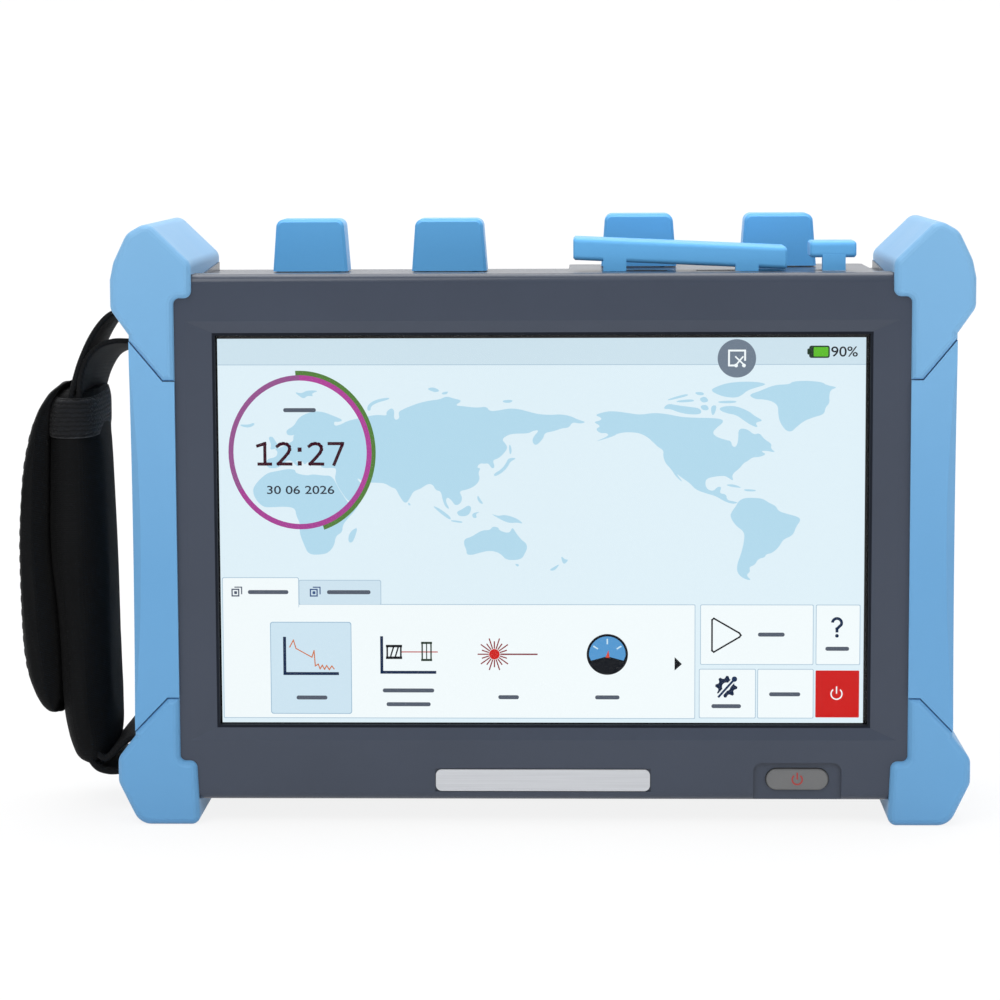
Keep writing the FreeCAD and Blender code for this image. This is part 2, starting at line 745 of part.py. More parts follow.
def bumper_corners(top):
    """Corner guard seen from the front: x, z and the rounding of each corner, inner step first."""
    outer = f"{SIDE} + bumper_reach"
    inner = f"{SIDE} - bumper_run"
    rail = f"{SIDE} + rail_reach"
    lip = f"{SIDE} - lip_width"
    if top:
        return [
            (inner, f"{TOP} - step_level", "2"), (inner, f"{TOP} + 4.6", "3"),
            (f"{SIDE} + 1", f"{TOP} + bumper_rise", "3.4"), (f"{SIDE} + 6.6", f"{TOP} + 12.5", "5"),
            (f"{SIDE} + 10.3", f"{TOP} + 4.8", "7"), (outer, f"{TOP} + 0.1", ""),
            (outer, f"{TOP} - 7.8", "4"), (rail, f"{TOP} - 14.6", ""), (rail, f"{TOP} - top_seam_start", ""),
            (f"{lip} + seam_flat", f"{TOP} - top_seam", ""), (lip, f"{TOP} - top_seam", ""),
            (lip, f"{TOP} - step_level", "1.6"),
        ]
    return [
        (f"{inner} + 0.3", f"{BASE} + foot_step", "2"), (f"{inner} - 0.5", f"{BASE} - foot_height", "2.4"),
        (f"{SIDE} + 5.7", f"{BASE} - foot_height", "5"), (outer, f"{BASE} + 5", "4"),
        (outer, f"{BASE} + 11.7", "4"), (rail, f"{BASE} + 17.9", ""), (rail, f"{BASE} + bottom_seam_start", ""),
        (f"{lip} + seam_flat", f"{BASE} + bottom_seam", ""), (lip, f"{BASE} + bottom_seam", ""),
        (lip, f"{BASE} + foot_step", "1.6"),
    ]


def corner_bumper(name, side, top):
    """Soft corner guard that wraps the case corner from the front lip to the back lip."""
    body = node(name)
    front, back = f"{FRONT} - bumper_lip", f"{BACK} + bumper_lip"
    corners = bumper_corners(top)
    add(body, "guard", "y", front, back, mirrored([(x, z) for x, z, rounding in corners], side))
    for rounding in sorted({rounding for x, z, rounding in corners if rounding}):
        places = [(side * number(x), number(z)) for x, z, size in corners if size == rounding]
        dress("Fillet", body, "round_" + rounding.replace(".", "_"), rounding,
              lambda e: runs(e, "y") and any(
                  abs(e.BoundBox.XMin - x) < 0.01 and abs(e.BoundBox.ZMin - z) < 0.01 for x, z in places))
    for label, face, toward in (("front", front, 1), ("back", back, -1)):
        dress("Chamfer", body, label + "_bevel", "lip_bevel", lambda e: lies(e, "y", face))
        if label == "front":
            shoulder = f"{face} + {toward} * lip_bevel"
            dress("Chamfer", body, "front_soften", "lip_soften", lambda e: lies(e, "y", face))
            dress("Chamfer", body, "front_soften_outer", "lip_soften", lambda e: lies(e, "y", shoulder))
    cut(body, "case_space", "y", FRONT, BACK, rectangle(f"-{SIDE}", SIDE, BASE, TOP))
    if top:
        cut(body, "rim_space", "y", FRONT, SEAM, rectangle(f"-{SIDE}", SIDE, TOP, f"{TOP} + rim_rise"))
        corner_lift(cut, body, side, "1")
    if side < 0:
        cut_strap_slot(body, top)
    return body


def cut_strap_slot(body, top):
    """Side slot where the strap's webbing goes round its bar, and the bar's two seats."""
    middle = f"({BASE} + anchor_{'top' if top else 'bottom'})"
    half = "(webbing_width / 2 + 1)"
    cut(body, "strap_slot", "z", f"{middle} - slot_tall / 2", f"{middle} + slot_tall / 2",
        rectangle(f"-{SIDE} - bumper_reach - 1", f"-{SIDE}", f"-{half}", half))
    cut(body, "bar_seat", "y", f"-{half} - 4", f"{half} + 4", circle(ANCHOR_X, middle, "anchor_radius"))


def side_rail(name, side):
    """Grip strip between two bumpers, with a scalloped bevel along its front and back edges."""
    body = node(name)
    inner = f"{SIDE} - rail_lap"
    outer = f"{SIDE} + rail_reach"
    top = f"{TOP} - top_seam - seam_gap"
    low = f"{BASE} + bottom_seam + seam_gap"
    points = [
        (inner, low), (f"{SIDE} - lip_width + seam_flat", low),
        (outer, f"{BASE} + bottom_seam_start + seam_gap"), (outer, f"{TOP} - top_seam_start - seam_gap"),
        (f"{SIDE} - lip_width + seam_flat", top), (inner, top),
    ]
    add(body, "strip", "y", f"{FRONT} - rail_lip", f"{BACK} + rail_lip", mirrored(points, side))
    scallop(body, side)
    cut(body, "case_space", "y", FRONT, BACK, rectangle(f"-{SIDE}", SIDE, BASE, TOP))
    if side < 0:
        middle = f"({BASE} + anchor_top)"
        cut(body, "strap_slot", "z", f"{middle} - slot_tall / 2", f"{middle} + slot_tall / 2",
            rectangle(f"-{SIDE} - bumper_reach - 1", f"-{SIDE}",
                      "-webbing_width / 2 - 1", "webbing_width / 2 + 1"))
    return body


def scallop(body, side):
    """Slice both long outer edges at 45 degrees with a wide disc, deepest halfway up."""
    half_length = number("case_height - top_seam - bottom_seam") / 2 + 6
    depth = number("rail_bevel") / math.sqrt(2)
    radius = (half_length ** 2 + depth ** 2) / (2 * depth)
    middle_z = number(f"{BASE} + (bottom_seam + case_height - top_seam) / 2")
    edge_x = side * number(f"{SIDE} + rail_reach")
    for end, edge_y in (("front", number(f"{FRONT} - rail_lip")), ("back", number(f"{BACK} + rail_lip"))):
        toward_y = -1 if end == "front" else 1
        out = FreeCAD.Vector(side, toward_y, 0).normalize()
        along = FreeCAD.Vector(-side, toward_y, 0).normalize()
        centre = FreeCAD.Vector(edge_x, edge_y, middle_z) + out * (radius - depth)
        drum = body.newObject("PartDesign::SubtractiveCylinder", end + "_scallop")
        drum.Radius = radius
        drum.Height = 24
        turn = FreeCAD.Rotation(FreeCAD.Vector(0, 0, 1), along)
        drum.Placement = FreeCAD.Placement(centre - along * 12, turn)
        doc.recompute()


# ---------------------------------------------------------------- ports, caps and flaps

def port_plate():
    """Raised bay on the right of the top wall that frames the ports and carries two caps."""
    body = node("port_plate")
    add(body, "plate", "z", TOP, BAY, rectangle("bay_left", "bay_right", f"{SEAM} + 1", f"{BACK} - 2"))
    dress("Fillet", body, "corners", "2", lambda e: runs(e, "z"))
    for name, loop in port_openings():
        if number(loop[0] if isinstance(loop, tuple) else loop[0][0]) > 0:
            cut(body, name, "z", TOP, BAY, loop)
    for i, place in enumerate(("cap_inner_place", "cap_outer_place")):
        hinge_ears(body, "cap_%d" % (i + 3), place, BAY)
    return body


def optical_adapter(name, place, base):
    """Threaded bulkhead adapter: square flange, ringed barrel, ferrule bore and inner tail."""
    body = node(name)
    add(body, "flange", "z", base, f"{base} + 1.2",
        centred(place, "adapter_flange", CAP_MIDDLE, "flange_depth"))
    add(body, "barrel", "z", f"{base} + 1.2", f"{base} + adapter_height", circle(place, CAP_MIDDLE, "adapter_radius"))
    threads = 2
    for i in range(threads):
        level = f"{base} + adapter_height - 1.2 - {i * 2}"
        ring = (circle(place, CAP_MIDDLE, "adapter_radius + 0.1"), circle(place, CAP_MIDDLE, "adapter_radius - 0.4"))
        cut(body, "thread_%d" % i, "z", f"{level} - 0.8", level, *ring)
    add(body, "tail", "z", f"{TOP} - case_wall - 8", base, circle(place, CAP_MIDDLE, "adapter_radius - 0.6"))
    cut(body, "ferrule_bore", "z", f"{base} - 6", f"{base} + adapter_height",
        circle(place, CAP_MIDDLE, "adapter_bore"))
    return body


def dust_cap(name, place, base):
    """Hollow tapered cap over an optical port, with a hinge knuckle behind it."""
    body = node(name)
    low = f"{base} + seat_gap"
    high = f"{base} + cap_height"
    half = "cap_width / 2"
    profile = [
        (f"{place} - {half}", low), (f"{place} + {half}", low),
        (f"{place} + {half} - cap_taper", high), (f"{place} - {half} + cap_taper", high),
    ]
    add(body, "shell", "y", CAP_FRONT, CAP_BACK, profile)
    dress("Fillet", body, "shoulders", "cap_round", lambda e: runs(e, "y") and near(e.BoundBox.ZMin, high))
    dress("Chamfer", body, "rim", "cap_bevel", lambda e: e.BoundBox.ZMax > number(high) - 6
          and (lies(e, "y", CAP_FRONT) or lies(e, "y", CAP_BACK)))
    axis_z = f"{base} + cap_hinge_rise"
    reach = "knuckle_length / 2"
    add(body, "knuckle", "x", f"{place} - {reach}", f"{place} + {reach}",
        circle(HINGE_Y, axis_z, "knuckle_radius"))
    add(body, "knuckle_web", "x", f"{place} - {reach}", f"{place} + {reach}",
        rectangle(CAP_BACK, HINGE_Y, axis_z, f"{axis_z} + knuckle_radius"))
    cut(body, "pin_bore", "x", f"{place} - {reach}", f"{place} + {reach}",
        circle(HINGE_Y, axis_z, "cap_pin_radius + turn_gap"))
    cut(body, "inside", "z", low, f"{high} - cap_wall - 0.6",
        centred(place, "cap_width - 2 * cap_taper - 2 * cap_wall", CAP_MIDDLE, "cap_depth - 2 * cap_wall"))
    return body


def cap_pins():
    """Four steel pins, one through each cap's ears and knuckle."""
    body = node("cap_pins")
    reach = "knuckle_length / 2 + seat_gap + ear_thick"
    for i, (place, base) in enumerate(cap_places()):
        add(body, "pin_%d" % (i + 1), "x", f"{place} - ({reach})", f"{place} + ({reach})",
            circle(HINGE_Y, f"{base} + cap_hinge_rise", "cap_pin_radius"))
    return body


def cap_places():
    return (("-cap_outer_place", TOP), ("-cap_inner_place", TOP),
            ("cap_inner_place", BAY), ("cap_outer_place", BAY))


def soften_lid(body, left, right):
    """Round a flap's long edges, then bevel its two ends."""
    dress("Fillet", body, "long_rounds", "flap_round", lambda e: e.BoundBox.YLength < 0.01 and e.BoundBox.XLength > 5)
    dress("Chamfer", body, "end_bevels", "flap_bevel", lambda e: lies(e, "x", left) or lies(e, "x", right))


def long_flap():
    """Soft cover over the data sockets, resting askew on two tethers."""
    body = node("long_flap")
    slope = math.tan(math.radians(DIMENSIONS["flap_tilt"]))
    low = f"{BAY} + seat_gap + flap_lift"
    rise = f"(flap_right - flap_left) * {slope:.5f}"
    add(body, "lid", "y", FLAP_FRONT, f"{FLAP_FRONT} + flap_depth", [
        ("flap_left", f"{low} + {rise}"), ("flap_right", low),
        ("flap_right", f"{low} + flap_thick"), ("flap_left", f"{low} + {rise} + flap_thick"),
    ])
    soften_lid(body, "flap_left", "flap_right")
    for name, place in tab_places()[:2]:
        add(body, name, "y", FLAP_FRONT, f"{FLAP_FRONT} + tab_thick",
            rectangle(f"{place} - tab_width / 2", f"{place} + tab_width / 2",
                      f"{BAY} + seat_gap", f"{low} + {rise} + 1"))
    return body


def small_flap():
    """Soft cover over the charging socket on one tether."""
    body = node("small_flap")
    low = f"{BAY} + small_flap_lift"
    left, right = "small_flap_place - small_flap_width / 2", "small_flap_place + small_flap_width / 2"
    add(body, "lid", "y", FLAP_FRONT, f"{FLAP_FRONT} + small_flap_depth",
        rectangle(left, right, low, f"{low} + small_flap_thick"))
    soften_lid(body, left, right)
    name, place = tab_places()[2]
    add(body, name, "y", FLAP_FRONT, f"{FLAP_FRONT} + tab_thick",
        rectangle(f"{place} - tab_width / 2", f"{place} + tab_width / 2", f"{BAY} + seat_gap", f"{low} + 1"))
    return body


def flap_roots():
    """Tether roots that fill their slots flush with the port plate."""
    body = node("flap_roots")
    for name, place in tab_places():
        add(body, name, "z", f"{TOP} - case_wall - 1", BAY,
            rectangle(f"{place} - tab_width / 2", f"{place} + tab_width / 2", FLAP_FRONT,
                      f"{FLAP_FRONT} + tab_thick"))
    return body


SOCKET_Y = f"({FLAP_FRONT} + flap_depth / 2 + 1)"


def usb_socket():
    """Upright socket: a folded shell round a contact tongue."""
    body = node("usb_socket")
    low = f"{BAY} - socket_deep"
    add(body, "shell", "z", low, BAY, centred("usb_place", "usb_width", SOCKET_Y, "usb_height"))
    cut(body, "mouth", "z", f"{low} + 2", BAY,
        centred("usb_place", "usb_width - 1", SOCKET_Y, "usb_height - 1"))
    add(body, "tongue", "z", f"{low} + 2", f"{BAY} - 1.5",
        centred("usb_place", "usb_width - 3", f"{SOCKET_Y} + 0.9", "1.8"))
    return body


def lan_socket():
    """Network jack with its latch notch and contact block."""
    body = node("lan_socket")
    low = f"{BAY} - socket_deep"
    add(body, "shell", "z", low, BAY, centred("lan_place", "lan_width", SOCKET_Y, "lan_height"))
    cut(body, "mouth", "z", f"{low} + 2", BAY,
        centred("lan_place", "11.8", f"{SOCKET_Y} - 1", "7"))
    cut(body, "latch_notch", "z", f"{low} + 2", BAY, centred("lan_place", "6", f"{SOCKET_Y} + 3.4", "2"))
    add(body, "contact_block", "z", f"{low} + 2", f"{low} + 4", centred("lan_place", "9", f"{SOCKET_Y} - 2", "4"))
    return body


def charging_socket():
    """Barrel jack with its centre pin."""
    body = node("charging_socket")
    low = f"{BAY} - socket_deep + 2"
    middle = f"{FLAP_FRONT} + flap_depth / 2"
    add(body, "barrel", "z", low, BAY, circle("small_flap_place", middle, "jack_radius"))
    cut(body, "mouth", "z", f"{low} + 2", BAY, circle("small_flap_place", middle, "jack_radius - 1.2"))
    add(body, "pin", "z", f"{low} + 2", f"{BAY} - 2", circle("small_flap_place", middle, "1.05"))
    return body


# ---------------------------------------------------------------- stand

def kickstand():
    """U-shaped stand let into the back, turning on a pin at the top of each limb."""
    body = node("kickstand")
    add(body, "frame", "y", f"{STAND_BACK} - stand_thick", STAND_BACK, stand_outline("0"))
    dress("Fillet", body, "foot_corners", "4", lambda e: runs(e, "y") and e.BoundBox.ZMin < number(BASE) + 8)
    half = "stand_thick / 2 - 0.01"
    dress("Fillet", body, "limb_ends", half, lambda e: runs(e, "x") and lies(e, "z", f"{BASE} + stand_high"))
    cut(body, "thumb_scoop", "y", f"{STAND_BACK} - 2.4", STAND_BACK,
        centred("0", "22", f"{BASE} + stand_low + 4", "5"))
    ribs = 3
    for i in range(ribs):
        reach = f"stand_width / 2 - 8 - {i * 5}"
        cut(body, "foot_groove_%d" % i, "y", f"{STAND_BACK} - 0.8", STAND_BACK,
            *[centred(f"{side} * ({reach})", "2", f"{BASE} + stand_low + stand_limb / 2", "stand_limb - 4")
              for side in (-1, 1)])
    for side in (-1, 1):
        ends = sorted((f"{side} * (stand_width / 2 - stand_limb)", f"{side} * (stand_width / 2)"), key=number)
        cut(body, "pin_bore_%s" % ("left" if side < 0 else "right"), "x", ends[0], ends[1],
            circle(STAND_AXIS_Y, STAND_AXIS_Z, "stand_pin_radius + turn_gap"))
    return body


def stand_pins():
    body = node("stand_pins")
    for side in (-1, 1):
        ends = sorted((f"{side} * (stand_width / 2 - stand_limb - pin_grip - stand_gap)",
                       f"{side} * (stand_width / 2 + pin_grip + stand_gap)"), key=number)
        add(body, "pin_%s" % ("left" if side < 0 else "right"), "x", ends[0], ends[1],
            circle(STAND_AXIS_Y, STAND_AXIS_Z, "stand_pin_radius"))
    return body


# ---------------------------------------------------------------- hand strap

def strap_bar(name, middle):
    """Steel bar across the slot that the webbing goes round."""
    body = node(name)
    reach = "(webbing_width / 2 + 5)"
    add(body, "bar", "y", f"-{reach}", reach, circle(ANCHOR_X, middle, "anchor_radius"))
    return body


def webbing_loop(name, outline):
    """A band of webbing from the wrap round its bar and back."""
    body = node(name)
    add(body, "band", "y", "-webbing_width / 2", "webbing_width / 2", outline)
    return body


def strap_webbing_top():
    """The upper loop, which rises over its bar and comes back under it."""
    z = f"{BASE} + anchor_top"
    outline = [
        (f"{WRAP_X} + 7.1", f"{z} - wrap_drop"), (f"{ANCHOR_X} - 19.5", f"{z} - 8"),
        (f"{ANCHOR_X} - 16", f"{z} - 1"), (f"{ANCHOR_X} - 12.2", f"{z} + 4.2"),
        (f"{ANCHOR_X} - 8.2", f"{z} + 6.1"), (f"{ANCHOR_X} - 4", f"{z} + 5.6"),
        (f"{ANCHOR_X} + 1.4", f"{z} + 3.5"), (f"{ANCHOR_X} + 3.4", f"{z} + 1.5"),
        (f"{ANCHOR_X} + 3.4", f"{z} - 1.5"), (f"{ANCHOR_X} + 1.4", f"{z} - 3.5"),
        (f"{ANCHOR_X} - 3.9", f"{z} - 5.4"), (f"{ANCHOR_X} - 8.7", f"{z} - 6.3"),
        (f"{ANCHOR_X} - 12", f"{z} - 8"), (f"{ANCHOR_X} - 14", f"{z} - 11.2"),
        (f"{WRAP_X} + 12.2", f"{z} - wrap_drop"), (f"{WRAP_X} + 10.6", f"{z} - wrap_drop"),
        (f"{ANCHOR_X} - 15.5", f"{z} - 10.6"), (f"{ANCHOR_X} - 12.9", f"{z} - 6.6"),
        (f"{ANCHOR_X} - 9", f"{z} - 4.7"), (f"{ANCHOR_X} - 4.2", f"{z} - 3.8"),
        (f"{ANCHOR_X} + 0.8", f"{z} - 1.9"), (f"{ANCHOR_X} + 1.8", f"{z} - 0.9"),
        (f"{ANCHOR_X} + 1.8", f"{z} + 0.9"), (f"{ANCHOR_X} + 0.8", f"{z} + 1.9"),
        (f"{ANCHOR_X} - 4.4", f"{z} + 4"), (f"{ANCHOR_X} - 8", f"{z} + 4.5"),
        (f"{ANCHOR_X} - 11.2", f"{z} + 2.7"), (f"{ANCHOR_X} - 14.6", f"{z} - 1.8"),
        (f"{ANCHOR_X} - 18", f"{z} - 8.4"), (f"{WRAP_X} + 8.7", f"{z} - wrap_drop"),
    ]
    return webbing_loop("strap_webbing_top", outline)


def strap_webbing_bottom():
    """The lower loop, which sags under the wrap and comes up round its bar."""
    z = f"{BASE} + anchor_bottom"
    low = f"{z} - wrap_sag"
    outline = [
        (f"{WRAP_X} + 9", low), (f"{ANCHOR_X} - 17.7", f"{z} - 6.2"),
        (f"{ANCHOR_X} - 14.1", f"{z} - 7.4"), (f"{ANCHOR_X} - 10.7", f"{z} - 7.5"),
        (f"{ANCHOR_X} - 6.7", f"{z} - 6.1"), (f"{ANCHOR_X} + 1.4", f"{z} - 3.5"),
        (f"{ANCHOR_X} + 3.4", f"{z} - 1.5"), (f"{ANCHOR_X} + 3.4", f"{z} + 1.5"),
        (f"{ANCHOR_X} + 1.4", f"{z} + 3.5"), (f"{ANCHOR_X} - 3.3", f"{z} + 5.3"),
        (f"{ANCHOR_X} - 7.5", f"{z} + 2.8"), (f"{ANCHOR_X} - 10.1", f"{z} + 0.6"),
        (f"{WRAP_X} + 14.8", f"{low} + 3"), (f"{WRAP_X} + 14", f"{low} + 1.8"),
        (f"{ANCHOR_X} - 12.4", f"{z} - 2.4"), (f"{ANCHOR_X} - 9.1", f"{z} - 1.1"),
        (f"{ANCHOR_X} - 6.4", f"{z} + 1"), (f"{ANCHOR_X} - 3.3", f"{z} + 3.5"),
        (f"{ANCHOR_X} + 0.8", f"{z} + 1.9"), (f"{ANCHOR_X} + 1.8", f"{z} + 0.9"),
        (f"{ANCHOR_X} + 1.8", f"{z} - 0.9"), (f"{ANCHOR_X} + 0.8", f"{z} - 1.9"),
        (f"{ANCHOR_X} - 7.2", f"{z} - 4.4"), (f"{ANCHOR_X} - 11.5", f"{z} - 5.8"),
        (f"{ANCHOR_X} - 15", f"{z} - 5.5"), (f"{WRAP_X} + 11.8", low),
    ]
    return webbing_loop("strap_webbing_bottom", outline)


def bow():
    """The bowed face, from the bottom up, where the wrap and the pad lie together."""
    return [
        (f"{WRAP_X} + 1.6", f"{WRAP_LOW} + 13.4"), (WRAP_X, f"{WRAP_LOW} + 46"), (WRAP_X, f"{WRAP_HIGH} - 12"),
        (f"{WRAP_X} + 1.4", f"{WRAP_HIGH} - 4"), (f"{WRAP_X} + 4", WRAP_HIGH),
    ]


def strap_wrap():
    """Inner wrap of the hand strap that the fingers close round."""
    body = node("strap_wrap")
    hand = f"{WRAP_X} + wrap_thick"
    points = bow() + [
        (f"{WRAP_X} + 12.4", WRAP_HIGH), (f"{hand} - 2.6", f"{WRAP_HIGH} - 4"), (f"{hand} - 1.5", f"{WRAP_HIGH} - 23"),
        (hand, f"{WRAP_LOW} + 30"), (hand, f"{WRAP_LOW} + 14"), (f"{WRAP_X} + 14.8", f"{WRAP_LOW} + 3"),
        (f"{WRAP_X} + 12.8", WRAP_LOW), (f"{WRAP_X} + 7", WRAP_LOW), (f"{WRAP_X} + 3.4", f"{WRAP_LOW} + 3.4"),
    ]
    add(body, "wrap", "y", "-wrap_width / 2", "wrap_width / 2", points)
    return body


def strap_pad():
    """Outer padded cover of the hand strap, bowed away from the case."""
    body = node("strap_pad")
    points = bow()[::-1] + [
        (f"{WRAP_X} - 2.4", f"{WRAP_LOW} + 18.4"), (f"{WRAP_X} - 5.4", f"{WRAP_LOW} + 27.4"),
        (f"{WRAP_X} - pad_thick", f"{WRAP_LOW} + 46"), (f"{WRAP_X} - pad_thick", f"{WRAP_HIGH} - 38"),
        (f"{WRAP_X} - 5.6", f"{WRAP_HIGH} - 18"), (f"{WRAP_X} - 3", f"{WRAP_HIGH} - 7"),
        (f"{WRAP_X} + 0.6", WRAP_HIGH), (f"{WRAP_X} + 4.2", f"{WRAP_HIGH} + 3"),
    ]
    add(body, "pad", "y", "-pad_width / 2", "pad_width / 2", points)
    return body


# ---------------------------------------------------------------- the whole instrument

front_housing()
rear_housing()
case_screws()
screen_gasket()
touch_panel()
lcd_panel()
board_spacers()
main_board()
otdr_module()
battery_pack()
battery_cover()
cover_screws()
speaker()
nameplate()
power_button()
power_switch()
corner_bumper("bumper_top_left", -1, True)
corner_bumper("bumper_top_right", 1, True)
corner_bumper("bumper_bottom_left", -1, False)
corner_bumper("bumper_bottom_right", 1, False)
side_rail("rail_left", -1)
side_rail("rail_right", 1)
port_plate()
for index, (place, base) in enumerate(cap_places(), start=1):
    optical_adapter("optical_adapter_%d" % index, place, base)
    dust_cap("dust_cap_%d" % index, place, base)
cap_pins()
long_flap()
small_flap()
flap_roots()
usb_socket()
lan_socket()
charging_socket()
kickstand()
stand_pins()
strap_bar("strap_bar_top", f"{BASE} + anchor_top")
strap_bar("strap_bar_bottom", f"{BASE} + anchor_bottom")
strap_webbing_top()
strap_webbing_bottom()
strap_wrap()
strap_pad()

doc.recompute()
for item in doc.Objects:
    if "Invalid" in item.State or "Error" in item.State:
        raise ValueError("%s did not build: %s" % (item.Name, item.State))
for body in NODES:
    if body.Shape.isNull() or not body.Shape.isValid():
        raise ValueError(body.Label + " has no valid shape")

os.makedirs("parts", exist_ok=True)
for body in NODES:
    body.Shape.exportStep("parts/%s.step" % body.Label)
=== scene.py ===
import math

import bmesh
import bpy
from mathutils import Euler, Matrix, Vector
from mathutils.geometry import delaunay_2d_cdt


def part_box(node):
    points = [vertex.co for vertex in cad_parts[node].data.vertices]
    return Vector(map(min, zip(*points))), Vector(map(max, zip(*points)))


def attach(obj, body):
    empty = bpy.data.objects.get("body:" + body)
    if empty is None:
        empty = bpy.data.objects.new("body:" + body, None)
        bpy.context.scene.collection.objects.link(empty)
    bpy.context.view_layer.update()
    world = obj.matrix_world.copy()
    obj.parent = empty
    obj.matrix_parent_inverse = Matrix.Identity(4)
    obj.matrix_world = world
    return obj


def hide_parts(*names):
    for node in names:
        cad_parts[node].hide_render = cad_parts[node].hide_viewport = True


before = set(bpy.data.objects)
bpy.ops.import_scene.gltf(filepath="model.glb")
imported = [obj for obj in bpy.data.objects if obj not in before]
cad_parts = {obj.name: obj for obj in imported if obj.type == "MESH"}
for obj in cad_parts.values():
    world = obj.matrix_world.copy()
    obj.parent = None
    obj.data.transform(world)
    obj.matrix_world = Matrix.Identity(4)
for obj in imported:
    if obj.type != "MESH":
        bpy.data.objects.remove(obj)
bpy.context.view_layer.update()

# ---------------------------------------------------------------- studio
# A plain pale sweep under soft lamps, with the tester standing on it by itself.
# The view is level with the top ports, nearly square to the screen, through a long lens.

MM = 0.001
scene = bpy.context.scene
scene.view_settings.view_transform = "Standard"

front_low, front_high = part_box("front_housing")
middle_x = (front_low.x + front_high.x) / 2


def linear(red, green, blue):
    """A colour written as 0 to 255 display values, as the light values that shaders take."""
    def level(value):
        share = value / 255
        return share / 12.92 if share <= 0.04045 else ((share + 0.055) / 1.055) ** 2.4
    return (level(red), level(green), level(blue), 1.0)


class Value:
    """A number inside a material, which ordinary arithmetic works on."""

    def __init__(self, finish, socket):
        self.finish = finish
        self.socket = socket

    def maths(self, operation, *numbers, clamp=False):
        settings = {"operation": operation, "use_clamp": clamp}
        return self.finish.node("Math", settings, dict(enumerate(numbers)))

    def __add__(self, other):
        return self.maths("ADD", self, other)

    def __radd__(self, other):
        return self.maths("ADD", other, self)

    def __sub__(self, other):
        return self.maths("SUBTRACT", self, other)

    def __mul__(self, other):
        return self.maths("MULTIPLY", self, other)

    def __rmul__(self, other):
        return self.maths("MULTIPLY", other, self)

    def clamped(self):
        return self.maths("ADD", self, 0.0, clamp=True)


class Finish:
    """One material: a Principled shader and the nodes that feed it."""

    def __init__(self, name, **fixed):
        self.material = bpy.data.materials.new(name)
        self.material.use_nodes = True
        self.tree = self.material.node_tree
        self.tree.nodes.clear()
        self.output = self.tree.nodes.new("ShaderNodeOutputMaterial")
        self.shader = self.tree.nodes.new("ShaderNodeBsdfPrincipled")
        self.tree.links.new(self.shader.outputs[0], self.output.inputs["Surface"])
        for label, value in fixed.items():
            self.shader.inputs[label.replace("_", " ")].default_value = value

    def node(self, kind, settings=None, values=None, result=0):
        made = self.tree.nodes.new("ShaderNode" + kind)
        for label, value in (settings or {}).items():
            setattr(made, label, value)
        for label, value in (values or {}).items():
            self.feed(made.inputs[label], value)
        return Value(self, made.outputs[result])

    def feed(self, socket, value):
        if isinstance(value, Value):
            self.tree.links.new(value.socket, socket)
        else:
            socket.default_value = value

    def set(self, **fed):
        for label, value in fed.items():
            self.feed(self.shader.inputs[label.replace("_", " ")], value)

    def place(self):
        """Position on the piece in its own space, in metres."""
        return self.node("TexCoord", result="Object")

    def noise(self, scale, detail=3.0, stretch=(1, 1, 1)):
        """A cloudy pattern; a larger scale makes it finer."""
        spot = self.node("Mapping", None, {"Vector": self.place(), "Scale": stretch})
        return self.node("TexNoise", None, {"Vector": spot, "Scale": scale, "Detail": detail})

    def mix(self, share, first, second):
        return self.node("Mix", {"data_type": "RGBA"}, {0: share, 6: first, 7: second}, result=2)

    def bump(self, height, depth, strength=1.0):
        return self.node("Bump", None, {"Height": height, "Distance": depth, "Strength": strength})

    def paint(self, *objects):
        for item in objects:
            item.data.materials.clear()
            item.data.materials.append(self.material)


def link_mesh(name, mesh, smooth):
    """Put a finished mesh into the scene."""
    for face in mesh.polygons:
        face.use_smooth = smooth
    made = bpy.data.objects.new(name, mesh)
    scene.collection.objects.link(made)
    return made


def built_object(name, build, smooth=False):
    """Put a mesh that is under construction into the scene."""
    mesh = bpy.data.meshes.new(name)
    build.to_mesh(mesh)
    build.free()
    return link_mesh(name, mesh, smooth)


def mesh_object(name, vertices, faces, smooth=False):
    """A mesh from plain lists of places and faces, linked into the scene."""
    mesh = bpy.data.meshes.new(name)
    mesh.from_pydata([tuple(v) for v in vertices], [], faces)
    mesh.validate()
    return link_mesh(name, mesh, smooth)


